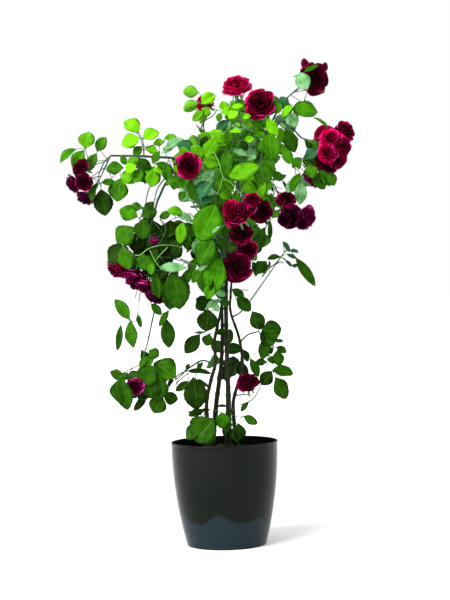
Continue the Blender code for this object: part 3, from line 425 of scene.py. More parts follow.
# Small roses that close the gaps in a cluster: tone, width in millimetres, place and facing.
FINER_ROSES = {
    "foliage_left_roses": [
        ("c", 48, (119, 269, -122), (-0.5, -0.35, -0.75)), ("m", 50, (132, 278, -128), (-0.35, -0.4, -0.8)),
        ("m", 50, (145, 288, -128), (-0.2, -0.45, -0.8)), ("u", 46, (157, 299, -114), (-0.1, -0.5, -0.85)),
    ],
    "foliage_top": [
        ("r", 54, (255, 110, -42), (-0.2, -0.8, -0.5)),
    ],
    "foliage_right_upper": [
        ("s", 56, (330, 139, -62), (-0.2, -0.9, 0.2)), ("c", 54, (343, 146, -60), (0.5, -0.8, 0.1)),
        ("s", 52, (326, 154, -64), (-0.4, -0.8, -0.1)), ("c", 50, (338, 160, -60), (0.2, -0.8, -0.3)),
        ("r", 44, (328, 168, -52), (-0.1, -0.8, -0.5)),
    ],
    "foliage_front": [
        ("s", 46, (229, 208, -206), (-0.5, -0.8, 0.3)), ("m", 44, (247, 207, -206), (0, -0.8, 0.6)),
    ],
    "foliage_right_low": [
        ("u", 40, (296, 216, 36), (0, -0.9, 0.1)), ("u", 36, (284, 221, 34), (-0.2, -0.8, -0.4)),
        ("u", 34, (303, 224, 34), (0.3, -0.8, -0.4)),
    ],
    "foliage_right_mid": [
        ("m", 44, (313, 180, -46), (0, -0.55, -0.8)),
    ],
}
# Thin twigs and fresh shoots that show between the leaves: kind, and the places that it runs through.
SHOOTS = {
    "foliage_left_cluster": [
        (
            "shoots", (135, 255, -185), (140, 255, -186), (148, 249, -188), (157, 246, -188),
            (168, 245, -180), (180, 247, -165), (194, 253, -150),
        ),
        ("shoots", (150, 250, -188), (153, 257, -190), (158, 265, -188), (162, 270, -184)),
        ("shoots", (168, 247, -180), (162, 253, -184), (156, 260, -184)),
        ("shoots", (122, 243, -140), (126, 251, -142), (133, 262, -146)),
    ],
    "foliage_left_upper": [
        ("twigs", (158, 178, -90), (150, 187, -92), (147, 196, -96), (145, 207, -104), (140, 219, -112)),
        ("twigs", (166, 177, -90), (158, 188, -90), (155, 198, -92), (153, 208, -98)),
        ("twigs", (160, 219, -108), (166, 228, -104), (162, 240, -112), (157, 247, -150)),
    ],
    "foliage_left_inner": [
        ("twigs", (192, 195, -110), (194, 205, -112), (199, 213, -116)),
        ("twigs", (180, 259, -130), (194, 264, -130)),
    ],
    "foliage_front_left": [
        (
            "shoots", (214, 152, -216), (219, 163, -222), (223, 177, -228), (231, 183, -230),
            (240, 193, -230), (244, 188, -228),
        ),
        ("shoots", (223, 177, -228), (220, 187, -228), (217, 195, -226)),
        ("shoots", (213, 180, -226), (206, 190, -226), (200, 201, -224)),
    ],
    "foliage_top_left": [
        ("twigs", (200, 132, 80), (204, 122, 72), (213, 116, 66), (217, 110, 62)),
    ],
    "foliage_top_right": [
        ("twigs", (314, 118, -22), (320, 121, -22), (328, 127, -24)),
    ],
    "foliage_right_mid": [
        ("twigs", (291, 159, -30), (300, 159, -34), (308, 160, -36), (313, 167, -38)),
    ],
    "foliage_right_low": [
        ("twigs", (271, 197, 55), (277, 203, 50), (284, 211, 40)),
    ],
    "foliage_low_rose": [
        ("twigs", (241, 405, -30), (252, 400, -38), (259, 390, -40), (261, 384, -40)),
    ],
    "foliage_right_thin": [
        ("twigs", (262, 277, -30), (268, 269, -36), (275, 264, -40), (280, 258, -42), (286, 250, -42)),
        ("twigs", (276, 264, -40), (280, 262, -42), (284, 263, -42)),
        ("twigs", (283, 258, -42), (288, 262, -44), (295, 268, -44)),
    ],
    "foliage_low_left_twig": [
        ("twigs", (188, 371, -40), (193, 373, -42), (198, 372, -44)),
        ("twigs", (176, 377, -40), (181, 373, -44), (188, 371, -48)),
        ("twigs", (176, 384, -40), (182, 378, -44), (189, 373, -48)),
    ],
    "foliage_low_left_stem": [
        ("twigs", (197, 411, -30), (197, 404, -50), (196, 398, -64)),
    ],
    "foliage_foot_left": [
        ("twigs", (188, 412, -60), (197, 411, -56), (206, 408, -50)),
    ],
    "foliage_far_left": [
        ("twigs", (111, 156, 32), (106, 160, 30), (102, 167, 28), (99, 175, 24), (98, 184, 18)),
    ],
}
# Circles, as a middle and a radius in pixels. In SKY the backdrop shows through the crown, so none of the
# rule's leaves and stalks is drawn there. In RELEAVED the finer leaves take the place of the rule's leaves.
SKY = (
    (134, 307, 9), (301, 155, 6), (309, 99, 7), (192, 124, 7), (210, 122, 5), (105, 155, 6), (316, 136, 5),
    (288, 180, 5), (188, 204, 5), (256, 232, 5), (187, 256, 7), (190, 329, 6), (250, 285, 9), (302, 285, 9),
    (292, 279, 6), (281, 326, 4), (192, 92, 9), (189, 106, 7), (191, 116, 6), (303, 190, 8), (145, 126, 5),
    (161, 134, 5), (187, 115, 5), (92, 150, 4), (102, 160, 4), (106, 178, 4), (106, 188, 5), (188, 200, 5),
    (192, 212, 5), (113, 240, 4), (254, 232, 4), (271, 240, 4), (230, 103, 5), (318, 135, 4), (307, 164, 4),
    (236, 280, 4), (245, 292, 4), (259, 276, 4), (131, 288, 4), (280, 325, 4), (287, 367, 4), (245, 395, 4),
    (243, 412, 4), (248, 422, 4), (138, 403, 4), (168, 406, 4), (296, 281, 6),
)
RELEAVED = (
    (272, 357, 36), (251, 295, 3), (150, 385, 32), (190, 387, 17), (150, 334, 17), (203, 318, 25),
    (196, 426, 4), (209, 416, 4), (240, 423, 5), (240, 405, 7), (145, 142, 19), (130, 126, 3),
    (88, 152, 23), (108, 193, 16), (116, 173, 3), (159, 184, 4), (147, 180, 4), (127, 168, 4),
    (177, 143, 8), (131, 213, 6), (142, 208, 3), (140, 218, 4), (127, 228, 3), (142, 230, 3), (157, 234, 9),
    (130, 245, 9), (143, 243, 4), (155, 248, 4), (162, 220, 4), (176, 265, 3), (188, 269, 3), (184, 247, 4),
    (312, 130, 9), (306, 155, 6), (268, 163, 5), (300, 122, 6), (305, 106, 7), (283, 195, 7), (256, 232, 6),
    (230, 126, 9), (212, 112, 6),
)
# Leaves between the ones of the solids: tone, width as a share of its length, foot, tip and depth.
FINER_LEAVES = {
    "foliage_far_left": [
        ("b", 0.85, (86, 149), (88, 133), 45), ("m", 0.65, (97, 152), (105, 138), 45),
        ("m", 0.36, (77, 149), (60, 160), 35), ("m", 0.5, (85, 150), (73, 167), 25),
        ("g", 0.5, (97, 153), (86, 170), 20), ("g", 0.62, (124, 168), (107, 168), 0),
        ("g", 0.42, (101, 183), (115, 182), -18), ("g", 0.74, (121, 178), (117, 200), -25),
        ("k", 0.68, (101, 189), (105, 214), -14), ("d", 0.5, (99, 183), (90, 200), -24),
    ],
    "foliage_upper_left": [
        ("l", 0.85, (139, 133), (126, 121), -5), ("l", 0.75, (143, 139), (157, 131), -5),
        ("l", 0.62, (141, 139), (123, 144), -15), ("g", 0.6, (143, 147), (134, 155), -15),
        ("l", 0.65, (145, 148), (157, 152), -15), ("l", 0.55, (165, 142), (154, 143), -5),
        ("b", 0.55, (164, 139), (176, 137), -5), ("g", 0.5, (160, 151), (153, 163), -45),
    ],
    "foliage_left_upper": [
        ("k", 0.55, (207, 136), (202, 148), -128), ("p", 0.4, (176, 146), (162, 153), -70),
        ("b", 0.7, (198, 135), (211, 142), -95), ("l", 0.7, (137, 165), (126, 171), -95),
        ("b", 0.65, (142, 177), (128, 182), -100), ("b", 0.7, (139, 167), (143, 181), -95),
        ("d", 0.3, (143, 165), (145, 183), -85), ("d", 0.5, (139, 158), (150, 169), -100),
        ("m", 0.6, (121, 156), (126, 164), -85), ("b", 0.5, (140, 158), (127, 163), -85),
        ("b", 0.7, (154, 170), (152, 186), -105), ("m", 0.4, (160, 171), (157, 183), -100),
        ("g", 0.38, (155, 164), (171, 168), -95), ("g", 0.6, (167, 165), (168, 181), -95),
        ("g", 0.72, (182, 188), (172, 177), -120), ("g", 0.55, (186, 190), (179, 199), -115),
        ("p", 0.42, (164, 150), (182, 139), -75), ("t", 0.7, (192, 153), (180, 142), -120),
        ("d", 0.6, (199, 148), (194, 158), -120), ("p", 0.5, (200, 148), (197, 158), -125),
        ("l", 0.4, (198, 138), (209, 132), -90), ("l", 0.6, (199, 142), (207, 148), -95),
        ("l", 0.4, (190, 141), (198, 145), -100), ("b", 0.75, (137, 170), (122, 182), -100),
    ],
    "foliage_left_cluster": [
        ("k", 0.8, (140, 232), (133, 250), -98), ("k", 0.8, (155, 262), (147, 276), -105),
        ("k", 0.75, (166, 238), (160, 253), -112), ("k", 0.75, (158, 254), (152, 268), -112),
        ("k", 0.7, (143, 256), (130, 268), -112), ("k", 0.7, (152, 240), (140, 252), -100),
        ("k", 0.8, (172, 240), (158, 262), -96), ("m", 0.8, (138, 217), (121, 210), -125),
        ("g", 0.6, (143, 208), (130, 206), -110), ("d", 0.9, (142, 217), (156, 211), -110),
        ("k", 0.8, (147, 213), (152, 202), -100), ("d", 0.72, (144, 219), (143, 238), -150),
        ("g", 0.8, (134, 227), (117, 242), -130), ("k", 0.9, (165, 228), (138, 240), -90),
        ("k", 0.9, (160, 240), (134, 253), -95), ("k", 0.85, (167, 251), (163, 265), -105),
        ("k", 0.85, (129, 248), (109, 261), -110), ("g", 0.55, (123, 246), (129, 268), -140),
        ("g", 0.7, (152, 262), (135, 262), -150), ("g", 0.7, (137, 259), (154, 267), -175),
        ("m", 0.5, (151, 262), (151, 274), -185), ("d", 0.5, (157, 248), (154, 259), -160),
    ],
    "foliage_left_inner": [
        ("d", 0.7, (190, 234), (186, 248), -100), ("g", 0.5, (197, 258), (190, 272), -120),
        ("k", 0.95, (170, 220), (172, 243), -100), ("k", 0.8, (182, 240), (167, 256), -100),
        ("k", 0.85, (178, 228), (160, 240), -95), ("b", 0.55, (183, 222), (179, 242), -165),
        ("d", 0.8, (187, 222), (193, 242), -120), ("g", 0.6, (171, 212), (160, 217), -110),
        ("b", 0.45, (184, 213), (168, 210), -120), ("p", 0.45, (193, 222), (178, 214), -125),
        ("p", 0.5, (199, 237), (194, 252), -125),
    ],
    "foliage_left_fall": [
        ("g", 0.5, (203, 268), (192, 281), -170), ("d", 0.62, (171, 272), (179, 307), -175),
        ("d", 0.3, (155, 270), (158, 297), -170), ("k", 0.45, (168, 291), (170, 309), -160),
        ("p", 0.34, (187, 268), (161, 267), -180), ("g", 0.5, (194, 268), (183, 284), -115),
        ("g", 0.5, (178, 268), (172, 280), -120),
    ],
    "foliage_left_roses": [
        ("d", 0.4, (151, 303), (161, 314), -100), ("g", 0.45, (130, 320), (116, 301), -110),
        ("g", 0.38, (131, 319), (133, 346), -110), ("d", 0.25, (121, 324), (117, 349), -105),
        ("d", 0.4, (138, 314), (140, 327), -70), ("g", 0.35, (169, 310), (159, 325), -70),
        ("d", 0.38, (166, 318), (169, 346), -60),
    ],
    "foliage_low_left": [
        ("k", 0.6, (152, 388), (138, 398), -52), ("d", 0.6, (138, 371), (126, 378), -50),
        ("d", 0.8, (146, 367), (144, 391), -60), ("k", 0.7, (160, 379), (147, 396), -58),
        ("d", 0.75, (140, 366), (149, 386), -52), ("k", 0.6, (141, 384), (132, 397), -55),
        ("d", 0.45, (141, 350), (150, 366), -45), ("d", 0.4, (127, 379), (111, 372), -50),
        ("d", 0.5, (128, 372), (120, 383), -60), ("g", 0.5, (140, 368), (146, 357), -50),
        ("g", 0.9, (149, 350), (158, 356), -45), ("m", 0.7, (142, 366), (152, 358), -45),
        ("d", 0.85, (154, 366), (140, 384), -70), ("d", 0.95, (157, 374), (154, 399), -75),
        ("d", 0.4, (121, 377), (127, 408), -70), ("d", 0.55, (119, 379), (117, 402), -62),
        ("d", 0.9, (162, 396), (154, 412), -50), ("k", 0.42, (147, 396), (134, 409), -30),
        ("k", 0.5, (165, 379), (164, 387), -20),
    ],
    "foliage_low_left_twig": [
        ("g", 0.8, (176, 378), (156, 363), -60), ("d", 0.8, (163, 396), (177, 399), -40),
        ("k", 0.3, (174, 376), (168, 387), -30), ("k", 0.5, (190, 364), (186, 369), -30),
    ],
    "foliage_top_left": [
        ("l", 0.72, (199, 93), (184, 92), 75), ("l", 0.6, (199, 103), (184, 109), 65),
        ("l", 0.6, (201, 104), (214, 95), 50), ("b", 0.8, (210, 108), (203, 115), 45),
        ("b", 0.6, (203, 111), (193, 120), 45), ("l", 0.75, (225, 112), (223, 102), 60),
    ],
    "foliage_top": [
        ("g", 0.6, (230, 148), (241, 157), -110), ("t", 0.6, (229, 120), (217, 130), -20),
        ("m", 0.6, (221, 113), (218, 121), -10), ("l", 0.45, (231, 108), (243, 106), -60),
        ("l", 0.8, (238, 110), (229, 118), -60), ("l", 0.6, (243, 119), (250, 115), -60),
        ("m", 0.8, (257, 119), (254, 127), -45), ("g", 0.45, (260, 120), (261, 131), -50),
        ("l", 0.5, (267, 118), (277, 135), -60), ("m", 0.75, (270, 112), (281, 105), -50),
        ("l", 0.4, (229, 132), (241, 131), -100), ("l", 0.4, (209, 135), (224, 132), -60),
        ("l", 0.6, (244, 143), (253, 138), -80),
    ],
    "foliage_top_right": [
        ("p", 0.62, (307, 91), (300, 74), -62), ("p", 0.25, (302, 79), (293, 76), -50),
        ("g", 0.3, (303, 73), (317, 65), -50), ("m", 0.68, (293, 110), (316, 110), -35),
        ("t", 0.6, (286, 110), (281, 98), -15), ("l", 0.4, (282, 118), (291, 105), -50),
        ("p", 0.7, (287, 113), (296, 126), -45), ("m", 0.16, (314, 118), (328, 127), -30),
        ("p", 0.5, (279, 123), (286, 128), -50), ("d", 0.45, (285, 129), (294, 151), -50),
    ],
    "foliage_right_upper": [
        ("d", 0.7, (312, 174), (324, 188), -50), ("g", 0.6, (327, 172), (335, 184), -48),
        ("d", 0.4, (305, 140), (311, 149), -30), ("t", 0.6, (318, 149), (306, 158), -45),
        ("m", 0.9, (308, 165), (313, 177), -74),
    ],
    "foliage_right_mid": [
        ("m", 0.6, (292, 168), (300, 158), -40), ("g", 0.6, (320, 170), (331, 184), -50),
        ("b", 0.5, (296, 160), (299, 169), -35), ("m", 0.4, (300, 173), (291, 190), -40),
        ("p", 0.42, (301, 181), (300, 203), -50), ("m", 0.7, (269, 133), (272, 158), -150),
        ("m", 0.5, (283, 148), (290, 163), -60),
    ],
    "foliage_right_low": [
        ("k", 0.5, (262, 245), (256, 253), 0), ("m", 0.6, (271, 173), (282, 179), 40),
        ("d", 0.2, (282, 180), (288, 191), 30), ("k", 0.3, (269, 182), (273, 191), 30),
        ("d", 0.3, (268, 195), (272, 202), 20), ("m", 0.6, (280, 210), (272, 217), 20),
        ("d", 0.45, (265, 227), (255, 252), 0), ("d", 0.2, (270, 220), (270, 239), 0),
        ("d", 0.6, (264, 222), (270, 224), 10),
    ],
    "foliage_front": [
        ("p", 0.45, (233, 151), (246, 154), -150), ("k", 0.45, (241, 140), (247, 150), -150),
        ("p", 0.4, (247, 161), (257, 156), -150), ("k", 0.5, (263, 149), (258, 161), -150),
        ("d", 0.5, (223, 149), (217, 162), -150), ("b", 0.5, (260, 166), (231, 176), -225),
        ("g", 0.75, (256, 165), (267, 183), -200), ("b", 0.3, (266, 181), (258, 200), -215),
        ("b", 0.22, (266, 183), (264, 200), -205), ("g", 0.6, (227, 150), (226, 173), -205),
    ],
    "foliage_front_left": [
        ("g", 0.6, (214, 178), (222, 192), -215), ("d", 0.5, (190, 181), (194, 199), -215),
        ("t", 0.6, (214, 183), (196, 196), -225), ("t", 0.5, (215, 197), (200, 203), -220),
        ("m", 0.7, (216, 204), (200, 238), -225),
    ],
    "foliage_front_low": [
        ("m", 0.6, (214, 283), (207, 298), -190), ("b", 0.6, (200, 249), (209, 256), -215),
        ("m", 0.5, (221, 257), (211, 291), -200), ("d", 0.6, (207, 271), (204, 292), -190),
        ("p", 0.35, (209, 266), (198, 270), -205), ("d", 0.7, (219, 238), (226, 249), -185),
        ("g", 0.6, (214, 239), (199, 262), -195), ("p", 0.28, (221, 226), (212, 233), -230),
    ],
    "foliage_right_thin": [
        ("g", 0.6, (257, 261), (266, 272), -55), ("t", 0.35, (283, 243), (290, 251), -40),
        ("g", 0.3, (268, 268), (270, 262), -50), ("d", 0.5, (232, 289), (244, 297), -40),
        ("d", 0.55, (236, 298), (250, 310), -45), ("t", 0.3, (290, 249), (283, 242), -40),
        ("t", 0.5, (290, 250), (298, 252), -45), ("d", 0.35, (281, 257), (268, 258), -50),
        ("d", 0.7, (266, 261), (257, 272), -55), ("d", 0.2, (270, 268), (269, 261), -50),
        ("d", 0.22, (295, 257), (314, 284), -50), ("t", 0.28, (286, 254), (296, 258), -50),
        ("t", 0.3, (285, 260), (292, 266), -44), ("t", 0.35, (291, 266), (299, 265), -44),
    ],
    "foliage_right_hang": [
        ("d", 0.8, (268, 332), (272, 345), -20), ("k", 0.35, (273, 346), (270, 354), -12),
        ("d", 0.7, (276, 361), (268, 359), -10), ("d", 0.6, (252, 311), (262, 328), -5),
        ("d", 0.4, (268, 335), (262, 358), -10), ("k", 0.75, (255, 314), (258, 328), -5),
        ("d", 1, (262, 330), (280, 328), -25), ("k", 0.55, (262, 329), (267, 346), -15),
        ("t", 0.35, (274, 341), (283, 341), -10), ("d", 0.5, (276, 347), (286, 352), -10),
        ("d", 0.6, (277, 350), (279, 365), -15), ("k", 0.5, (268, 360), (275, 363), -10),
        ("k", 0.5, (267, 362), (256, 362), -5), ("d", 0.62, (272, 370), (292, 373), -30),
        ("k", 0.75, (272, 371), (262, 384), -10), ("d", 0.62, (275, 377), (287, 397), -30),
        ("d", 0.4, (250, 358), (258, 376), -10),
    ],
    "foliage_stem_left": [
        ("k", 0.7, (212, 303), (197, 299), -62), ("k", 0.7, (212, 299), (196, 307), -60),
        ("k", 0.88, (208, 309), (206, 330), -70), ("p", 0.32, (222, 300), (205, 308), -75),
        ("p", 0.5, (213, 301), (218, 311), -80), ("p", 0.6, (226, 296), (216, 292), -70),
        ("k", 0.46, (200, 334), (186, 352), -35), ("d", 0.8, (210, 334), (206, 345), -35),
        ("t", 0.16, (208, 332), (194, 333), -35), ("k", 0.4, (214, 333), (226, 331), -25),
    ],
    "foliage_low_left_stem": [
        ("k", 0.58, (193, 377), (197, 408), -80), ("k", 0.45, (189, 381), (176, 390), -60),
        ("k", 0.35, (193, 380), (208, 385), -60), ("k", 0.2, (187, 371), (210, 372), -55),
        ("k", 0.5, (203, 362), (197, 369), -50),
    ],
    "foliage_low_rose": [
        ("k", 0.4, (249, 402), (241, 411), -60),
    ],
    "foliage_foot_left": [
        ("k", 0.4, (205, 411), (189, 415), -60), ("d", 0.7, (200, 427), (186, 437), -92),
        ("g", 0.7, (200, 422), (191, 438), -90), ("d", 0.85, (214, 418), (195, 439), -95),
        ("k", 0.14, (212, 410), (189, 412), -60), ("g", 0.88, (222, 412), (222, 428), -75),
    ],
    "foliage_foot_right": [
        ("d", 0.5, (243, 416), (257, 423), -60), ("k", 0.6, (238, 423), (240, 441), -70),
        ("k", 0.2, (229, 407), (217, 406), -40),
    ],
    "foliage_low_back": [
        ("k", 0.5, (242, 349), (248, 361), 40), ("k", 0.6, (240, 361), (246, 377), 40),
    ],
}
# Glossy dark plastic, olive streaked with brown, and a painted reflection in slate blue round its foot, below a
# wavy line.

# How the finer leaves are set.
FINER_COUNT = 6  # small leaves along a stem that has no finer leaves of its own
FINER_TONE_STEP = 3  # how many of the spray's tones on each next one is
FINER_LEAFLET = 0.82  # of the spray's leaflets
FINER_TWIST = 0.25
FINER_LENGTH = 1.08  # a finer leaf's blade, of its way from foot to tip
FINER_WIDTH = 1.15  # and of its named width, as it is seen turned a little away
FINER_TRIES = 11  # each a step nearer or further
FORM_WIDTH = 0.88  # of a leaf's form, as a share of its scale
WOOD_STEPS = 12
WOOD_SHARES = (0.35, 0.7, 1)  # of a twig or stalk, where another stalk may start
BACKWARD_COST = 0.4  # how much a stalk that turns back counts as longer
ROSE_FACINGS = {  # of a spray's first roses, where they differ a little from their solids
    "foliage_top": [(-0.10, -0.60, 0.80), (-0.35, -0.86, 0.30)],
    "foliage_top_right": [(0.42, -0.90, -0.12)],
    "foliage_left_roses": [(-0.5, -0.6, -0.6), (-0.3, -0.6, -0.7), (-0.1, -0.5, -0.8)],
}
BOUGH_TONE_STEP = 2  # and on a bough
BOUGH_LEAVES = {  # how many leaves grow along these sprays' boughs
    "foliage_back_left": 16,
    "foliage_back_right": 16,
    "foliage_back_low": 11,
    "foliage_top_back": 9,
}

# How finely twigs and bark are made.
FINE_STEP = 0.006
STEM_SIDES = 7
STEM_SLIMNESS = 1.3
STEM_SINK = 0.002  # how far a stem or bough starts inside its limb
SLIMNESS = {"stalk": 1.0, "twig": 1.15}  # width of the fine form against the solid
SHOOT_RADII = {"shoots": [0.0010, 0.0006], "twigs": [0.0017, 0.0011]}  # at foot and tip
NO_LENGTH = 1e-4  # a way shorter than this has no direction
CORNER_GRID = 1e-6  # corners of a solid nearer than this are one
BOUGH_SKIN = 0.0003  # the bark's thickness over a bough's solid
BARK_SIDES = 14
BARK_RIDGES = 7
BARK_COARSE = 90  # lumps per metre
BARK_TWIST = 12
BARK_RELIEF = (0.07, 0.07, 0.16)  # of lumps, ridges and joints, as shares of the radius
JOINT_SPACING = 0.042
JOINT_SHARPNESS = 24
PRICKLE_SPACING = 0.028
PRICKLE_HEIGHT = 0.0065
PRICKLE_GROWTH = (1.3, 0.0015)  # it is no higher than this many radii and this much more
PRICKLE_SIZES = (0.6, 1.0)  # of its height
PRICKLE_PLACES = (0.2, 0.8)  # where it may stand in its step along the limb
PRICKLE_LAST = 0.98
PRICKLE_TURN = 0.5
PRICKLE_SEAT = 0.85  # of the limb's radius
ROOT_DEPTH = 0.012

# How finely pot and soil are made.
POT_STEPS = 128
POT_ROWS = 40
INNER_ROWS = 8
FOOT_STEPS = 6
LIP_STEPS = 3
BEAD_STEPS = 10
BASE_RING = 0.6  # a ring on the flat base, as a share of its radius
INNER_TOP = 0.004  # how far below the rim the inner wall ends
LIP_ROUNDING = 0.001
SOIL_CUT = 0.02  # how far below the soil's skirt the pot's form is closed
SOIL_DEPTH = 0.01  # how far below its edge the soil's form is closed
SOIL_STEPS = 110
SOIL_ROWS = 34
SOIL_LUMPS = ((45, 0.0035), (130, 0.0022), (330, 0.0010))  # per metre, and their height
CRUMBS = 900
CRUMB_SIZE = (0.002, 0.0075)
CRUMB_SIZES = (0.6, 1)  # and shares of that
CRUMB_FORM = (1, 0.8, 0.6)
CRUMB_RISE = 0.2  # how far it stands out of the soil, as a share of its size
CRUMB_EDGE = 0.97  # of the soil's radius
CRUMB_ROUGHNESS = 0.6
CRUMB_GRAIN = 2.3
CRUMB_APART = 7  # between two kinds, in the noise that shapes them
CRUMB_KINDS = 5

# The view and the light.
CAMERA_PLACE = (0.0098, -4.0, 0.67)
CAMERA_PITCH = math.radians(-1.13)
CAMERA_ROLL = math.radians(-1.4)
CAMERA_LENS = 99.3
SENSOR = 36  # millimetres, over the photo's height
PHOTO_MIDDLE = (225, 300)  # in the photo's pixels
PHOTO_FOCUS = CAMERA_LENS / SENSOR * 2 * PHOTO_MIDDLE[1]  # the lens in the photo's pixels
WORLD_STRENGTH = 1.0
SUN_STRENGTH = 3.8
SUN_SOFTNESS = math.radians(35)
SUN_PLACE = (-0.55, -0.65, 0.75)
WINDOWS = {"window_left": ((-2.2, -1.6, 1.1), 1.2, 22), "window_right": ((2.4, -1.2, 1.0), 1.0, 10)}
WINDOW_AIM = (0, 0, 0.5)
FLOOR_SIDE = 60

# Colours: two tones of each, between which it wanders.
TONE_STOPS = (0.32, 0.68)
# From lime to deep the greens are partly the leaves' own and partly painted light and shade; pale is a painted
# highlight and teal a painted sheen.
LEAF_COLOURS = {
    "lime": ((0.085, 0.340, 0.000), (0.170, 0.520, 0.006)),
    "bright": ((0.036, 0.170, 0.000), (0.088, 0.300, 0.003)),
    "mid": ((0.016, 0.105, 0.000), (0.042, 0.190, 0.002)),
    "green": ((0.009, 0.062, 0.000), (0.027, 0.128, 0.002)),
    "dark": ((0.004, 0.032, 0.000), (0.013, 0.070, 0.001)),
    "deep": ((0.0015, 0.012, 0.000), (0.006, 0.032, 0.001)),
    "pale": ((0.050, 0.160, 0.045), (0.180, 0.400, 0.170)),
    "teal": ((0.008, 0.060, 0.018), (0.020, 0.110, 0.045)),
}
UNDER_PALENESS = (0.30, (0.075, 0.20, 0.055))  # how far a leaf's underside turns to this
RIB_PALENESS = (0.12, (0.20, 0.42, 0.10))  # how far a leaf's middle rib turns to this
ROSE_COLOURS = {  # painted shade of the heart, the face, and painted highlight of the rim
    "scarlet": ((0.100, 0.000, 0.008), (0.460, 0.000, 0.048), (0.760, 0.012, 0.200)),
    "crimson": ((0.026, 0.000, 0.004), (0.135, 0.000, 0.016), (0.620, 0.004, 0.140)),
    "maroon": ((0.014, 0.000, 0.003), (0.055, 0.000, 0.009), (0.260, 0.002, 0.055)),
    "purple": ((0.009, 0.000, 0.006), (0.042, 0.000, 0.017), (0.200, 0.006, 0.085)),
    "magenta": ((0.036, 0.000, 0.012), (0.150, 0.000, 0.045), (0.600, 0.045, 0.270)),
}
PETAL_SHADE = 0.25  # how far a petal's darker tone turns to black
BLACK = (0, 0, 0)
LEAF_GLOSS = {"Specular_IOR_Level": 0.12, "Specular_Tint": (0.70, 1.00, 0.22, 1)}
PETAL_GLOSS = {
    "Specular_IOR_Level": 0.08,
    "Specular_Tint": (1.0, 0.10, 0.35, 1),
    "Sheen_Weight": 0.10,
    "Sheen_Roughness": 0.4,
    "Sheen_Tint": (0.90, 0.04, 0.22, 1),
}
POT_GLOSS = {"Specular_IOR_Level": 0.11, "Specular_Tint": (0.80, 0.95, 1.0, 1)}

# Range of roughness, patches per metre and height of the grain.
LEAF_GRAIN = ((0.42, 0.58), 55, 0.00025)
UNDERLEAF_GRAIN = ((0.6, 0.8), 70, 0.0003)
RIB_GRAIN = ((0.4, 0.6), 90, 0.0001)
PETAL_GRAIN = ((0.55, 0.75), 120, 0.0002)
# Noise of tones, roughness and grain: how much closer it is than the patches, and its detail.
TONE_NOISE = (1, 2)
ROUGH_NOISE = (0.6, 3)
GRAIN_NOISE = (6, 3)

# Single finishes: two tones, range of roughness, patches per metre, height of the grain, gloss.
PLAIN_FINISHES = {
    "soil_mound": ((0.006, 0.004, 0.003), (0.020, 0.013, 0.008), (0.85, 1.0), 160, 0.0006, {}),
    "bark_canes": ((0.006, 0.009, 0.006), (0.020, 0.022, 0.014), (0.5, 0.75), 140, 0.0004, LEAF_GLOSS),
    "bark_boughs": ((0.016, 0.034, 0.022), (0.045, 0.070, 0.055), (0.5, 0.75), 90, 0.0003, LEAF_GLOSS),
    "twigs": ((0.030, 0.070, 0.030), (0.060, 0.120, 0.060), (0.4, 0.6), 60, 0.0001, LEAF_GLOSS),
    "shoots": ((0.100, 0.290, 0.040), (0.180, 0.390, 0.100), (0.4, 0.6), 60, 0.0001, LEAF_GLOSS),
    "calyces": ((0.060, 0.180, 0.040), (0.120, 0.280, 0.090), (0.45, 0.65), 90, 0.0001, LEAF_GLOSS),
    "floor": ((0.90, 0.90, 0.90), (0.92, 0.92, 0.92), (0.7, 0.8), 3, 0.0001, {}),
}
POT_FINISH = ((0.0022, 0.0030, 0.0015), (0.0040, 0.0042, 0.0020), (0.08, 0.14), 9, 0.00003, POT_GLOSS)
POT_PAINTED_REFLECTION = (0.0085, 0.0150, 0.0200, 1)  # a painted reflection in slate blue round the pot's foot
POT_REFLECTION_LINE = (0.108, 0.116)  # where the painted reflection's edge blends, in metres above the waves' foot
POT_REFLECTION_WAVES = 11  # waves of that edge per metre
POT_REFLECTION_WAVE_HEIGHT = 0.09


# --- Routes ----------------------------------------------------------------------------------------------


def smooth_route(points, step):
    """Points about a step apart on the smooth curve through these."""
    ends = [2 * points[0] - points[1], *points, 2 * points[-1] - points[-2]]
    route = [points[0]]
    for before, start, end, after in zip(ends, ends[1:], ends[2:], ends[3:]):
        pieces = max(1, round((end - start).length / step))
        slope = end - before
        bend = 2 * before - 5 * start + 4 * end - after
        turn = 3 * start - before - 3 * end + after
        for i in range(1, pieces + 1):
            t = i / pieces
            route.append((2 * start + slope * t + bend * t * t + turn * t**3) / 2)
    return route


def along(route, share):
    """Place and direction at this share of a route's length."""
    lengths = [(b - a).length for a, b in zip(route, route[1:])]
    left = share * sum(lengths)
    piece = 0
    while piece < len(lengths) - 1 and left > lengths[piece]:
        left -= lengths[piece]
        piece += 1
    start, end = route[piece], route[piece + 1]
    return start.lerp(end, min(1, left / lengths[piece])), (end - start).normalized()


def blend(values, share):
    """The value at this share of an evenly spaced list."""
    place = share * (len(values) - 1)
    low = min(int(place), len(values) - 2)
    return values[low] + (values[low + 1] - values[low]) * (place - low)


def in_metres(point):
    return Vector(point) * MM


def seen_at(right, down, depth):
    """The place that the photo shows at this pixel, this many millimetres behind the pot's middle."""
    away = Matrix.Rotation(-CAMERA_ROLL, 2) @ (Vector((right, down)) - Vector(PHOTO_MIDDLE))
    eye = Vector(CAMERA_PLACE)
    far = depth * MM - eye.y
    rise = math.tan(CAMERA_PITCH) - away.y / PHOTO_FOCUS
    return Vector((eye.x + far * away.x / PHOTO_FOCUS, depth * MM, eye.z + far * rise))


def pixel_of(place):
    """Where the photo shows this place, in pixels to the right and down."""
    way = place - Vector(CAMERA_PLACE)
    away = Vector((way.x / way.y, math.tan(CAMERA_PITCH) - way.z / way.y)) * PHOTO_FOCUS
    return Matrix.Rotation(CAMERA_ROLL, 2) @ away + Vector(PHOTO_MIDDLE)


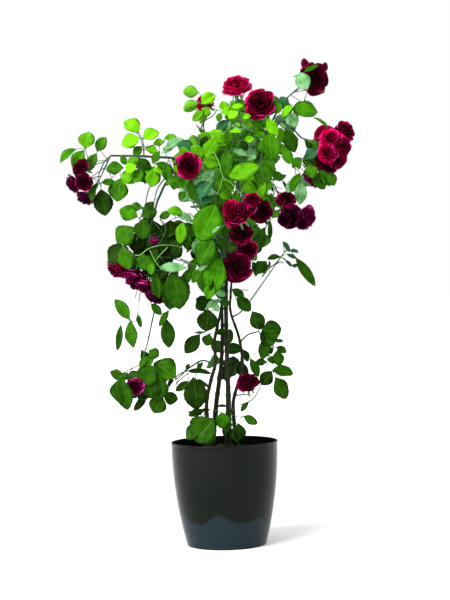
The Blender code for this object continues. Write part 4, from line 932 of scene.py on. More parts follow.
def next_points(parent_route, share):
    """The first points of a limb that leaves its parent here: in its middle, or just past its tip."""
    place, direction = along(parent_route, share)
    if share < 1:
        return [place]
    return [place + direction * GAP, place + direction * NEXT_STEP]


def limb_routes():
    routes = {}
    for name, cane in CANES.items():
        foot = in_metres(cane.points[0]) + Vector((0, 0, SOIL_CROWN + GAP))
        upright = foot + Vector((0, 0, UPRIGHT_FOOT))
        routes[name] = [foot, *smooth_route([upright, *map(in_metres, cane.points[1:])], LIMB_STEP)]
    for name, bough in BOUGHS.items():
        start = next_points(routes[bough.parent], bough.share)
        first, *rest = smooth_route([start[-1], *map(in_metres, bough.points)], LIMB_STEP)
        routes[name] = [*start[:-1], first, *rest]
    return routes


def radii_of(limb, grown=0):
    return [radius * MM + grown for radius in limb.radii]


# --- The growth rule's shapes ------------------------------------------------------------------------------


def unit_leaflet():
    """A leaflet of unit length, width and thickness along +Y, from its root at the origin, keeled below."""
    shape = bmesh.new()
    widest = LEAFLET_WIDEST
    root, tip, left, right, keel = (
        shape.verts.new(corner)
        for corner in [(0, 0, 0), (0, 1, 0), (-0.5, widest, 1 / 3), (0.5, widest, 1 / 3), (0, widest, -2 / 3)]
    )
    for first, second in ((left, right), (right, keel), (keel, left)):
        shape.faces.new((root, second, first))
        shape.faces.new((tip, first, second))
    bmesh.ops.recalc_face_normals(shape, faces=shape.faces)
    return shape


def unit_twig():
    """A three-sided twig of unit length along +Y and unit radius at its foot, thinner at its end."""
    shape = bmesh.new()
    bmesh.ops.create_cone(shape, segments=TWIG_SIDES, cap_ends=True, radius1=1, radius2=TWIG_TAPER, depth=1)
    bmesh.ops.translate(shape, verts=shape.verts, vec=(0, 0, 0.5))
    bmesh.ops.rotate(shape, verts=shape.verts, matrix=Matrix.Rotation(-math.pi / 2, 3, "X"))
    return shape


def unit_bloom():
    """A double rose of unit width that faces +Z: a shallow dome over a cup, centred at the origin."""
    shape = bmesh.new()
    bmesh.ops.create_uvsphere(shape, u_segments=ROSE_SIDES, v_segments=ROSE_RINGS, radius=0.5)
    for corner in shape.verts:
        corner.co.z *= ROSE_DOME if corner.co.z > 0 else ROSE_CUP
        if corner.co.z < ROSE_WAIST:
            corner.co.xy *= ROSE_FOOT
    return shape


class Solid:
    """A surface to keep clear of, with the middle and reach of the ball round it."""

    def __init__(self, corners, faces):
        low = Vector(map(min, zip(*corners)))
        high = Vector(map(max, zip(*corners)))
        self.middle = (low + high) / 2
        self.reach = (high - low).length / 2
        self.tree = BVHTree.FromPolygons(corners, faces)


class Shape:
    """A small closed shape that the rule tests for clearance wherever it places one."""

    def __init__(self, name, made):
        self.name = name
        self.corners = [corner.co.copy() for corner in made.verts]
        made.verts.index_update()
        self.faces = [tuple(corner.index for corner in face.verts) for face in made.faces]
        made.free()

    def surface(self, place):
        return Solid([place @ corner for corner in self.corners], self.faces)


def set_along(origin, forward, normal, width, length, depth):
    """A matrix that puts +Y along forward and +Z as near as can be to normal, at these sizes."""
    forward = forward.normalized()
    across = forward.cross(normal)
    if across.length < NO_LENGTH:
        across = forward.orthogonal()
    across.normalize()
    up = across.cross(forward)
    turn = Matrix((across, forward, up)).transposed().to_4x4()
    return Matrix.Translation(origin) @ turn @ Matrix.Diagonal((width, length, depth, 1))


# --- The growth rule ---------------------------------------------------------------------------------------


def jitter(rng, size):
    return Vector((rng.uniform(-size, size), rng.uniform(-size, size), rng.uniform(-size, size)))


def light_on(place):
    """Where a leaf here turns its face: to the window in front, or outwards on the far side."""
    fan, right, back, up = FRONT_LIGHT if place.y < FRONT_DEPTH else BACK_LIGHT
    return Vector((fan * place.x + right, back, up))


def branching_share(route, target, facing, rng):
    """The share of the stem where a twig for this target leaves it: at about the branching angle."""
    best_share, least = STEM_END, math.inf
    for i in range(FIRST_BRANCH, BRANCH_PLACES + 1):
        share = STEM_END * i / BRANCH_PLACES
        place, direction = along(route, share)
        way = target - place
        cost = abs(way.angle(direction) - BRANCH_ANGLE) + BRANCH_LENGTH_COST * way.length
        cost += rng.uniform(0, BRANCH_CHANCE)
        if facing is not None:
            cost += max(0, way.angle(facing) - FACING_SLACK)
        if cost < least:
            best_share, least = share, cost
    return best_share


def leaf_pieces(shapes, base, tip, size, pairs, rng):
    """(shape, matrix) of each part of a leaf from its base to its tip. The first one holds the others."""
    way = tip - base
    length = way.length
    direction = way.normalized()
    normal = light_on(base) + jitter(rng, LEAF_TWIST)
    side = direction.cross(normal).normalized()
    normal = side.cross(direction)
    pieces = []

    def add_leaflet(root, heading, grown):
        blade_up = normal + jitter(rng, LEAFLET_TWIST)
        heading = (heading - Vector((0, 0, LEAFLET_DROOP))).normalized()
        across = grown * LEAFLET_WIDTH * rng.uniform(*LEAFLET_WIDTHS)
        start = root - heading * LEAFLET_ROOT
        sizes = (across, grown + LEAFLET_ROOT, grown * LEAFLET_THICKNESS)
        pieces.append((shapes["leaflet"], set_along(start, heading, blade_up, *sizes)))

    if length < SINGLE_LEAF * size:
        add_leaflet(base, direction, length)
        return pieces
    end_length = min(size, END_LEAFLET_SHARE * length)
    stalk = length - end_length
    foot = base - direction * STALK_ROOT
    held_by = set_along(foot, direction, normal, STALK_RADIUS, stalk + 2 * STALK_ROOT, STALK_RADIUS)
    pieces.append((shapes["stalk"], held_by))
    add_leaflet(base + direction * stalk, direction, end_length)
    for pair in range(pairs):
        at = stalk - END_STALK - pair * PAIR_SPACING
        if at < FIRST_PAIR:
            break
        grown = end_length * PAIR_SIZES[pair]
        for hand in (-1, 1):
            root = base + direction * (at + PAIR_OFFSET * hand)
            turn = LEAFLET_SPREAD + rng.uniform(-SPREAD_TWIST, SPREAD_TWIST)
            add_leaflet(root, direction * math.cos(turn) + side * hand * math.sin(turn), grown)
    return pieces


def swollen(place, by):
    """The same placed shape, a little larger all round, for a test of clearance."""
    scale = place.to_scale()
    across, forward, up = (scale.x + 2 * by) / scale.x, (scale.y + by) / scale.y, (scale.z + 2 * by) / scale.z
    return place @ Matrix.Diagonal((across, forward, up, 1))


def meets(shape, place, obstacles):
    grown = shape.surface(swollen(place, 2 * GAP))
    return any(
        (grown.middle - other.middle).length < grown.reach + other.reach and grown.tree.overlap(other.tree)
        for other in obstacles
    )


class Growth:
    """The spray that is growing: its stem, its pieces, and the surfaces that it keeps clear of."""

    def __init__(self, name, spray, route, shapes, bearer, bearer_route):
        self.name = name
        self.spray = spray
        self.route = route
        self.shapes = shapes
        self.bearer = bearer
        self.bearer_route = bearer_route
        self.rng = random.Random(name)
        self.tone = ""
        self.leaflet = spray.leaflet
        self.pairs = spray.pairs
        self.pieces = []
        self.finer_from = 0
        self.own = []
        self.others = []

    def add(self, shape, place):
        self.pieces.append((shape.name, place, self.tone))
        self.own.append(shape.surface(place))

    def twig(self, start, end, radius):
        way = (end - start).normalized()
        length = (end - start).length + STALK_ROOT
        place = set_along(start - way * STALK_ROOT, way, way.orthogonal(), radius, length, radius)
        if meets(self.shapes["twig"], place, self.others):
            return False
        self.add(self.shapes["twig"], place)
        return True

    def leaf(self, base, tip):
        """Adds the first of a few seeded tries that is clear all over, or the clear leaflets of the best."""
        size = self.leaflet * MM
        best = []
        for attempt in range(LEAF_TRIES):
            aim = tip + jitter(self.rng, TRY_STEP * attempt)
            first, *rest = leaf_pieces(self.shapes, base, aim, size, self.pairs, self.rng)
            if meets(*first, self.others if rest else self.others + self.own[1:]):
                continue
            clear = [one for one in rest if not meets(*one, self.others + self.own[1:])]
            if rest and not clear:
                continue
            if len(clear) + 1 > len(best):
                best = [first, *clear]
            if len(clear) == len(rest):
                break
        for shape, place in best:
            self.add(shape, place)

    def reach(self, tip):
        """A leaf that ends here, on a twig of its own where the stem is too far off."""
        share = branching_share(self.route, tip, None, self.rng)
        base, _ = along(self.route, share)
        way = tip - base
        spare = way.length - LEAF_REACH
        if spare > TWIG_LEAST:
            knee = base + way.normalized() * spare + Vector((0, 0, KNEE_RISE * spare))
            if not self.twig(base, knee, TWIG_RADIUS):
                return
            base = knee
        self.leaf(base, tip)

    def bloom(self, bloom):
        """A rose or a bud at its place, on a stalk from the stem."""
        facing = Vector(bloom.facing).normalized()
        centre = in_metres(bloom.place)
        width = bloom.width * MM
        base, _ = along(self.route, branching_share(self.route, centre, facing, self.rng))
        if width > BUD_WIDTH:
            shape = self.shapes["bloom"]
            place = set_along(centre, facing.orthogonal(), facing, width, width, width)
        else:
            shape = self.shapes["bud"]
            length = BUD_LENGTH * width
            place = set_along(centre - facing * length / 2, facing, facing.orthogonal(), width, length, width)
        if meets(shape, place, self.others):
            return
        if self.twig(base, centre - facing * ROSE_SEAT * width, PEDICEL_RADIUS):
            self.add(shape, place)

    def wood(self):
        """Places along the stem and along every twig and stalk so far."""
        for i in range(WOOD_STEPS + 1):
            yield along(self.route, i / WOOD_STEPS)[0]
        for kind, place, _ in self.pieces:
            if kind in ("stalk", "twig"):
                for share in WOOD_SHARES:
                    yield place @ Vector((0, share, 0))

    def finer_leaf(self, width, foot, tip):
        """One leaflet from foot to tip, moved nearer or further to where it is clear, and its stalk."""
        way = tip - foot
        length = FINER_LENGTH * way.length
        blade_up = light_on(foot) + jitter(self.rng, FINER_TWIST)
        sizes = (FINER_WIDTH * width * length / FORM_WIDTH, length, length * LEAFLET_THICKNESS)
        for step in range(FINER_TRIES):
            aside = Vector((0, TRY_STEP * ((step + 1) // 2) * (-1 if step % 2 else 1), 0))
            blade = set_along(foot + aside, way, blade_up, *sizes)
            if not meets(self.shapes["leaflet"], blade, self.others + self.own[1:]):
                foot = foot + aside
                break
        else:
            blade = set_along(foot, way, blade_up, *sizes)

        def stalk_cost(spot):
            stalk = foot - spot
            return stalk.length * (1 + BACKWARD_COST - BACKWARD_COST * math.cos(way.angle(stalk, 0)))

        base = min(self.wood(), key=stalk_cost)
        stalk = foot - base
        if stalk.length > STALK_ROOT:
            place = set_along(base, stalk, blade_up, STALK_RADIUS, stalk.length, STALK_RADIUS)
            self.add(self.shapes["stalk"], place)
        self.add(self.shapes["leaflet"], blade)

    def filler(self, number, count):
        """A leaf that the rule adds along the stem, a turn of the spiral on from the last."""
        share = (number + FILLER_START) / (count + FILLER_START)
        base, direction = along(self.route, min(share, FILLER_END))
        across = direction.orthogonal().normalized()
        turn = Matrix.Rotation(PHYLLOTAXIS * (number + 1) + self.rng.uniform(0, 1), 3, direction)
        outwards, onwards, up = FILLER_WAY
        way = (turn @ across) * outwards + direction * onwards + Vector((0, 0, up))
        self.leaf(base, base + way.normalized() * self.spray.leaflet * MM)


# --- Closed blades and tubes -----------------------------------------------------------------------------

TINY = 1e-9
Form = namedtuple("Form", "corners faces slots")


def normals_of(grid):
    """Unit normals of a grid of points, rows by columns."""
    down = np.gradient(grid, axis=0)
    across = np.gradient(grid, axis=1)
    found = np.cross(across, down)
    return found / np.maximum(np.linalg.norm(found, axis=2, keepdims=True), TINY)


def strips(index, turned):
    """Triangles between the rows and columns of an array of corner numbers, flat ones included."""
    a, b = index[:-1, :-1].ravel(), index[:-1, 1:].ravel()
    c, d = index[1:, 1:].ravel(), index[1:, :-1].ravel()
    faces = np.stack([a, b, c, a, c, d], axis=1).reshape(-1, 3)
    return faces[:, ::-1] if turned else faces


def compact(corners, faces, slots):
    """Drops flat triangles and the corners that nothing uses."""
    real = (faces[:, 0] != faces[:, 1]) & (faces[:, 1] != faces[:, 2]) & (faces[:, 0] != faces[:, 2])
    used, again = np.unique(faces[real], return_inverse=True)
    return Form(corners[used], again.reshape(-1, 3).astype(np.int32), slots[real].astype(np.int32))


def blade(grid, thickness, pointed, upper_slots, under_slots):
    """A closed blade: this grid is its upper face, and its under face shares the rim. Row 0 is its root.

    The slots of a face are one number, or rows by columns of them."""
    rows, columns = grid.shape[:2]
    upper = np.arange(rows * columns).reshape(rows, columns)
    upper[0, :] = upper[0, 0]
    if pointed:
        upper[-1, :] = upper[-1, 0]
    under = upper.copy()
    under[1:-1, 1:-1] += rows * columns
    below = grid - thickness * normals_of(grid)
    corners = np.concatenate([grid.reshape(-1, 3), below.reshape(-1, 3)])
    faces = np.concatenate([strips(upper, False), strips(under, True)])
    cells = (rows - 1, columns - 1)
    slots = [np.broadcast_to(part, cells).ravel().repeat(2) for part in (upper_slots, under_slots)]
    return compact(corners, faces, np.concatenate(slots))


def closed_rings(index):
    """The rows of corner numbers of some rings, each joined to its start."""
    return np.concatenate([index, index[:, :1]], axis=1)


def tube(rings, foot, tip, turned, slot):
    """A closed form over rings of corners that comes to a point at its foot and its tip."""
    rows, sides = len(rings), len(rings[0])
    index = closed_rings(np.arange(rows * sides).reshape(rows, sides))
    points = [np.full(sides + 1, rows * sides + end) for end in range(2)]
    parts = (np.stack([points[0], index[0]]), index, np.stack([index[-1], points[1]]))
    corners = np.array([list(corner) for ring in [*rings, [foot, tip]] for corner in ring])
    faces = np.concatenate([strips(part, turned) for part in parts])
    return compact(corners, faces, np.full(len(faces), slot))


def round_form(rings, turned):
    """A closed form over rings of corners round the Z axis, of which the first and the last lie on it."""
    corners = np.array(rings)
    index = np.arange(corners.shape[0] * corners.shape[1]).reshape(corners.shape[:2])
    index[0, :] = index[0, 0]
    index[-1, :] = index[-1, 0]
    faces = strips(closed_rings(index), turned)
    return compact(corners.reshape(-1, 3), faces, np.zeros(len(faces)))


def merged(forms):
    """Several forms as one."""
    starts = np.cumsum([0, *(len(form.corners) for form in forms[:-1])])
    return Form(
        np.concatenate([form.corners for form in forms]),
        np.concatenate([form.faces + start for form, start in zip(forms, starts)]),
        np.concatenate([form.slots for form in forms]),
    )


def moved(form, place):
    turn = np.array(place, float)
    return Form(form.corners @ turn[:3, :3].T + turn[:3, 3], form.faces, form.slots)


def frames_along(route):
    """A side and an upward direction at each point of a route, which turn as little as can be."""
    ways = [(b - a).normalized() for a, b in zip(route, route[1:])]
    ways = [ways[0], *((a + b).normalized() for a, b in zip(ways, ways[1:])), ways[-1]]
    side = ways[0].orthogonal().normalized()
    frames = []
    for way in ways:
        side = (side - way * side.dot(way)).normalized()
        frames.append((side, way.cross(side)))
    return frames


def sweep(route, radius_at, sides):
    """A closed tube along a route: radius_at(number of the point, turn) gives its surface."""
    rings = []
    for i, (place, (side, up)) in enumerate(zip(route, frames_along(route))):
        ring = []
        for j in range(sides):
            turn = 2 * math.pi * j / sides
            radius = radius_at(i, turn)
            ring.append(place + side * (radius * math.cos(turn)) + up * (radius * math.sin(turn)))
        rings.append(ring)
    return tube(rings, route[0], route[-1], False, 0)


def tapered(route, radii, sides, scale=1):
    """A closed tube whose radius runs through these, evenly spaced along its route."""
    last = len(route) - 1
    return sweep(route, lambda i, turn: scale * blend(radii, i / last), sides)


# --- Leaves ----------------------------------------------------------------------------------------------

LEAF_FORMS = 8
LEAF_ROWS = 13
LEAF_COLUMNS = (-1, -0.52, -0.04, 0.04, 0.52, 1)
MIDRIB_HALF = 0.1  # columns nearer the middle than this are the rib
LEAF_FOOT = 0.05  # the short stalk of a leaflet, as a share of its length
LEAF_FOOT_WIDTH = 0.012
LEAF_PEAK = 2.72  # makes the widest place of the outline 1
LEAF_FULLNESS = 0.62  # powers of the outline's curves
LEAF_POINT = 0.85
OVAL_LEAN = 0.9
LEAF_THICKNESS = 0.016
# How leaflets differ, from the least to the most.
LEAF_FOLD = (0.10, 0.34)
LEAF_DROOP = (0.02, 0.24)
LEAF_WAVE = (0.01, 0.05)
LEAF_ROUNDNESS = (0.35, 0.8)
LEAF_BEND = (-0.07, 0.07)
LEAF_SLIMNESS = (0.80, 1.0)
LEAF_WAVES = 1.6  # along its length
LEAF_TEETH = (-0.02, 0.03)  # of even and odd rows
LEAF_TOOTH_LEAN = 0.02
LEAF_VEIN = 0.012
LEAF_SWEEP = 0.22  # how far its sides run on towards the tip
MIDRIB_SINK = -0.02
TOP_SIDE, UNDER_SIDE, MIDRIB = 0, 1, 2


def leaf_half_width(along_leaf, roundness):
    """Half the width of a leaflet of unit length and width here: full at the foot, pointed at the tip."""
    grown = max(0, (along_leaf - LEAF_FOOT) / (1 - LEAF_FOOT))
    pointed = LEAF_PEAK * grown**LEAF_FULLNESS * (1 - grown) ** LEAF_POINT
    oval = math.sin(math.pi * min(1, grown**OVAL_LEAN)) ** LEAF_FULLNESS
    return 0.5 * (roundness * oval + (1 - roundness) * pointed)


def leaflet_form(seed):
    """A leaflet along +Y with its top up, of unit length and width: folded, quilted by its veins, toothed."""
    rng = random.Random(seed)
    fold = rng.uniform(*LEAF_FOLD)
    droop = rng.uniform(*LEAF_DROOP)
    wave = rng.uniform(*LEAF_WAVE)
    phase = rng.uniform(0, math.tau)
    roundness = rng.uniform(*LEAF_ROUNDNESS)
    bend = rng.uniform(*LEAF_BEND)
    slim = rng.uniform(*LEAF_SLIMNESS)
    grid = np.zeros((LEAF_ROWS, len(LEAF_COLUMNS), 3))
    for i in range(LEAF_ROWS):
        t = i / (LEAF_ROWS - 1)
        half = slim * leaf_half_width(t, roundness) + LEAF_FOOT_WIDTH * (1 - t)
        vein = LEAF_VEIN if i % 2 else -LEAF_VEIN
        for j, u in enumerate(LEAF_COLUMNS):
            tooth = LEAF_TEETH[i % 2] if abs(u) == 1 else 0
            x = u * half * (1 + tooth)
            relief = vein * half * 2 if MIDRIB_HALF < abs(u) < 1 else 0
            midrib = MIDRIB_SINK * (1 - t) if abs(u) < MIDRIB_HALF else 0
            ripple = wave * abs(u) * math.sin(math.tau * LEAF_WAVES * t + phase + u)
            grid[i, j] = (
                x + bend * math.sin(math.pi * t),
                t + LEAF_SWEEP * abs(x) * (1 - t) + LEAF_TOOTH_LEAN * tooth,
                fold * abs(x) - droop * t * t + relief + midrib + ripple,
            )
    grid[0, :] = (grid[0, 2] + grid[0, 3]) / 2
    grid[-1, :] = (0, 1, -droop)
    columns = zip(LEAF_COLUMNS, LEAF_COLUMNS[1:])
    top = [MIDRIB if abs(u + v) < MIDRIB_HALF else TOP_SIDE for u, v in columns]
    return blade(grid, LEAF_THICKNESS, True, top, UNDER_SIDE)


# --- Stalks, prickles, sepals and buds -------------------------------------------------------------------

# Slots: green parts are a piece of their own, and a petal has three tones: painted shade at its heart, its
# face, and a painted highlight at its rim.
GREEN = 0
SHADED_HEART, FACE, LIT_RIM = 0, 1, 2
STALK_BOWS = (-1.6, 0.8, 1.8)
STALK_ROUND = 6
STALK_RINGS = 6
STALK_FOOT = 0.95  # its radius there, and how much thinner it is at its end
STALK_TAPER = 0.35
PRICKLE_RINGS = (0, 0.12, 0.35, 0.7, 1)
PRICKLE_ROUND = 6
PRICKLE_FOOT = 0.30
PRICKLE_POINT = 0.004
PRICKLE_CURVE = 1.3
PRICKLE_HOOK = 0.35
PRICKLE_SLIMNESS = (0.55, 1, 1)
SEPALS = 5
SEPAL_ROWS = 7
SEPAL_FOOT = 0.16  # where on its outline it starts
SEPAL_FULLNESS = 0.8
SEPAL_FOLD = 0.35
SEPAL_THICKNESS = 0.05  # of its width
HIP_ROUND = 10
CALYX_OPENNESS = -1.1
CALYX_TWIST = 0.15  # how unevenly the sepals are spread
CALYX_SEAT = (0, 0.05, -0.36)
CALYX_SEPAL = (0.40, 0.11)  # length and width
CALYX_CURLS = (-0.12, -0.25)
CALYX_HIP = [(0.03, -0.50), (0.060, -0.47), (0.078, -0.42), (0.062, -0.37), (0.07, -0.33)]  # radius and y
BUD_FORMS = 2
BUD_EGG = [(0.20, 0.16), (0.36, 0.26), (0.46, 0.40), (0.48, 0.55), (0.42, 0.72), (0.28, 0.87), (0.10, 0.98)]
BUD_HEART = 0.9  # of the egg's radius
BUD_ROUND = 12
BUD_PETALS = 3
BUD_COLUMNS = 7
BUD_STEP = 0.42  # the turn between two columns of a petal
BUD_UNEVEN = 0.2
BUD_WRAP = (0.92, 0.05)  # a petal's radius against the egg's, and how much it opens
BUD_RIM_WAVE = 0.03
BUD_THICKNESS = 0.02
BUD_HIP = [(0.10, 0.0), (0.24, 0.04), (0.30, 0.11), (0.26, 0.19)]
BUD_SEPAL_LENGTH = (0.40, 0.62)
BUD_SEPAL_WIDTH = 0.34
BUD_SEPAL_CURL = (0.10, 0.5)
BUD_SEPAL_LEAN = -0.42
BUD_SEAT = (0, 0.12, 0.24)


def spindle(rings, sides, slot=GREEN):
    """A closed form round the Y axis, from (radius, y, sideways z) of each ring."""
    turns = [math.tau * j / sides for j in range(sides)]
    corners = [
        [(radius * math.cos(turn), y, aside + radius * math.sin(turn)) for turn in turns]
        for radius, y, aside in rings
    ]
    return tube(corners, (0, *rings[0][1:]), (0, *rings[-1][1:]), True, slot)


def straight(outline):
    """The rings of a spindle that isn't bent, from (radius, y)."""
    return [(radius, y, 0) for radius, y in outline]


def stalk_form(bow):
    """A slender stalk of unit length and about unit radius, bowed a little, thinner at its end."""
    shares = [i / (STALK_RINGS - 1) for i in range(STALK_RINGS)]
    rings = [(STALK_FOOT - STALK_TAPER * t, t, bow * math.sin(math.pi * t)) for t in shares]
    return spindle(rings, STALK_ROUND)


def prickle_form():
    """A hooked prickle of unit height along +Y, on a long foot."""
    rings = []
    for t in PRICKLE_RINGS:
        radius = PRICKLE_FOOT * (1 - t) ** PRICKLE_CURVE + PRICKLE_POINT
        rings.append((radius, t, -PRICKLE_HOOK * t * t))
    form = spindle(rings, PRICKLE_ROUND)
    return Form(form.corners * PRICKLE_SLIMNESS, form.faces, form.slots)


def sepal_form(length, width, curl):
    """A narrow pointed blade along +Y that curls back."""
    grid = np.zeros((SEPAL_ROWS, 3, 3))
    for i in range(SEPAL_ROWS):
        t = i / (SEPAL_ROWS - 1)
        half = 0.5 * width * math.sin(math.pi * min(1, SEPAL_FOOT + (1 - SEPAL_FOOT) * t)) ** SEPAL_FULLNESS
        for j, u in enumerate((-1, 0, 1)):
            grid[i, j] = (u * half, length * t, length * curl * t * t + SEPAL_FOLD * half * abs(u))
    return blade(grid, SEPAL_THICKNESS * width, True, GREEN, GREEN)


def round_axis(form, number, axis, seat, lean):
    """One of the sepals round a flower's axis."""
    turn = Matrix.Rotation(math.tau * number / SEPALS, 4, axis)
    return moved(form, turn @ Matrix.Translation(seat) @ Matrix.Rotation(lean, 4, "X"))


def calyx_form():
    """The green of a unit rose that faces +Z: its hip, and five sepals spread below it."""
    upright_hip = Matrix.Rotation(math.pi / 2, 4, "X")
    parts = [moved(spindle(straight(CALYX_HIP), HIP_ROUND), upright_hip)]
    for i in range(SEPALS):
        sepal = sepal_form(*CALYX_SEPAL, CALYX_CURLS[i % 2])
        parts.append(round_axis(sepal, i, "Z", CALYX_SEAT, CALYX_OPENNESS + CALYX_TWIST * (i % 3)))
    return merged(parts)


def bud_petal(number, start):
    """One of the petals wrapped round a bud."""
    grid = np.zeros((len(BUD_EGG), BUD_COLUMNS, 3))
    tight, opening = BUD_WRAP
    for row, (radius, y) in enumerate(BUD_EGG):
        for column in range(BUD_COLUMNS):
            turn = start + BUD_STEP * column
            out = radius * (tight + opening * column / 2)
            wave = BUD_RIM_WAVE * math.sin(2 * turn + number)
            grid[row, column] = (out * math.cos(turn), y + wave, out * math.sin(turn))
    # A bud's petal edges take the rim's painted highlight.
    tones = [[FACE]] * (len(BUD_EGG) - 2) + [[LIT_RIM]]
    return blade(grid, BUD_THICKNESS, False, tones, tones)


def bud_forms(seed):
    """The green and the petals of a bud along +Y, of unit length and about unit width."""
    rng = random.Random(seed)
    petals = [spindle([(BUD_HEART * radius, y, 0) for radius, y in BUD_EGG], BUD_ROUND, FACE)]
    for i in range(BUD_PETALS):
        petals.append(bud_petal(i, math.tau * i / BUD_PETALS + rng.uniform(-BUD_UNEVEN, BUD_UNEVEN)))
    green = [spindle(straight(BUD_HIP), HIP_ROUND)]
    curl, more = BUD_SEPAL_CURL
    for i in range(SEPALS):
        sepal = sepal_form(rng.uniform(*BUD_SEPAL_LENGTH), BUD_SEPAL_WIDTH, curl + more * (i % 2))
        green.append(round_axis(sepal, i, "Y", BUD_SEAT, BUD_SEPAL_LEAN))
    return merged(green), merged(petals)


# --- Roses -----------------------------------------------------------------------------------------------

ROSE_FORMS = ((1.0, 0), (0.92, 0), (0.82, 0), (0.98, 0.12))  # openness, and the share of petals lost
# Whorls of a full rose of unit width, from the outside in: petals, reach, height of the rim, half the angle
# that a petal wraps, how far its rim rolls back, and its tones low down, half way up and at the rim: the heart
# tone is painted shade deep in the bloom, the rim tone a painted highlight.
WHORLS = (
    (5, 0.500, -0.05, 0.76, 1.10, (FACE, FACE, LIT_RIM)),
    (6, 0.450, 0.08, 0.68, 0.90, (FACE, FACE, LIT_RIM)),
    (6, 0.360, 0.16, 0.66, 0.70, (SHADED_HEART, FACE, FACE)),
    (6, 0.260, 0.20, 0.68, 0.45, (SHADED_HEART, SHADED_HEART, FACE)),
    (5, 0.165, 0.22, 0.80, 0.25, (SHADED_HEART, SHADED_HEART, FACE)),
    (3, 0.085, 0.22, 1.10, 0.05, (SHADED_HEART, SHADED_HEART, SHADED_HEART)),
)
WHORL_TURN = (0.3, 0.7)  # from one whorl to the next
WHORL_UNEVEN = 0.12
CLOSED_REACH = 0.72  # of an inner petal's reach, in a rose that is still closed
PETAL_ROWS = 7
PETAL_COLUMNS = 7
PETAL_FOOT = -0.36  # height of the petals' roots
PETAL_START = 0.025  # and their radius
PETAL_THICKNESS = 0.010
PETAL_ROUNDNESS = 0.20  # how much shorter a petal is at its sides
PETAL_SIDES = 0.12
PETAL_SPREAD = (0.35, 0.65, 0.12, 0.62)  # least and added width, which swells as this part of a half wave
PETAL_LEAN = 0.05
PETAL_OPENING = 0.9  # powers of the curves by which it spreads and rises
PETAL_RISE = 1.35
LIP_START = 0.66  # the share of its length where its rim starts to roll, and the rest
LIP_LENGTH = 0.34
LIP_OUT = 0.05
LIP_DOWN = 0.09
PETAL_NOTCH = (0.0, 0.10)
NOTCH_SHARPNESS = 9
PETAL_WAVES = (2.0, 5.0)
PETAL_REACHES = (0.86, 1.0)
PETAL_HEIGHTS = (-0.045, 0.03)
PETAL_RUFFLE = (0.014, 0.036)
FULL_RUFFLE = 0.3  # petals that reach less are less ruffled
FRILL_RISE = 0.8  # of its ruffle, up and down, and how much closer these waves are
FRILL_WAVES = 1.3
RIM_WAVES = 1.5  # how much closer the painted highlights of a rim are than its waves
# above this, a rim's painted highlight reaches a row further down
BRIGHTEST = 0.75


def petal_form(rng, reach, height, turn, wrap, roll, ruffle, tones):
    """A cupped petal round the Z axis: it rises from the middle, spreads, and its frilled rim rolls back."""
    grid = np.zeros((PETAL_ROWS, PETAL_COLUMNS, 3))
    phase = rng.uniform(0, math.tau)
    notch = rng.uniform(*PETAL_NOTCH)
    waves = rng.uniform(*PETAL_WAVES)
    reach *= rng.uniform(*PETAL_REACHES)
    height += rng.uniform(*PETAL_HEIGHTS)
    narrow, broader, wave_start, wave_length = PETAL_SPREAD
    for i in range(PETAL_ROWS):
        v = i / (PETAL_ROWS - 1)
        for j in range(PETAL_COLUMNS):
            u = 2 * j / (PETAL_COLUMNS - 1) - 1
            grown = v * (1 - PETAL_ROUNDNESS * v * u * u - notch * v * math.exp(-NOTCH_SHARPNESS * u * u))
            spread = wrap * (narrow + broader * math.sin(math.pi * min(1, wave_start + wave_length * grown)))
            angle = turn + spread * (1 - PETAL_SIDES * v * abs(u) ** 3) * u
            lip = max(0, grown - LIP_START) / LIP_LENGTH
            open_share = math.sin(math.pi / 2 * grown) ** PETAL_OPENING
            radius = PETAL_START + (reach - PETAL_START) * open_share * (1 + PETAL_LEAN * u)
            radius += roll * LIP_OUT * lip * lip + ruffle * v * v * math.sin(waves * u + phase)
            frill = FRILL_RISE * ruffle * v * v * math.cos(waves * u * FRILL_WAVES + phase)
            rise = PETAL_FOOT + (height - PETAL_FOOT) * grown**PETAL_RISE
            rise -= roll * LIP_DOWN * lip * lip - frill
            grid[i, j] = (radius * math.cos(angle), radius * math.sin(angle), rise)
    return blade(grid, PETAL_THICKNESS, False, *petal_tones(waves, phase, tones))


def petal_tones(waves, phase, tones):
    """The tones of a petal's face and back, rows by columns. Its rim takes a painted highlight in patches along
    its frill.
    """
    low, middle, rim = tones
    columns = PETAL_COLUMNS - 1
    light = [math.sin(RIM_WAVES * waves * (j / PETAL_COLUMNS) + phase) for j in range(columns)]
    lit = [rim if share > 0 else middle for share in light]
    brightest = [rim if share > BRIGHTEST else middle for share in light]
    plain = [middle] * columns
    face = [[low] * columns] * (PETAL_ROWS - 4) + [plain, brightest, lit]
    back = [plain] * (PETAL_ROWS - 3) + [brightest, lit]
    return face, back


def rose_form(seed, openness, missing):
    """The petals of a unit rose that faces +Z."""
    rng = random.Random(seed)
    petals = []
    start = 0
    for number, (count, reach, height, wrap, roll, tones) in enumerate(WHORLS):
        start += rng.uniform(*WHORL_TURN)
        spread = reach if number == 0 else reach * (openness + (1 - openness) * CLOSED_REACH)
        for i in range(count):
            turn = start + math.tau * (i + rng.uniform(-WHORL_UNEVEN, WHORL_UNEVEN)) / count
            if rng.random() < missing:
                continue
            ruffle = rng.uniform(*PETAL_RUFFLE) * min(1, reach / FULL_RUFFLE)
            petals.append(petal_form(rng, spread, height, turn, wrap, roll * openness, ruffle, tones))
    return merged(petals)


# --- Finishes --------------------------------------------------------------------------------------------


def set_inputs(finish, node, **inputs):
    """Gives each input of a node its value, or links it to the output that is given."""
    for name, value in inputs.items():
        socket = node.inputs[name.replace("_", " ")]
        if isinstance(value, bpy.types.NodeSocket):
            finish.node_tree.links.new(value, socket)
        else:
            socket.default_value = value


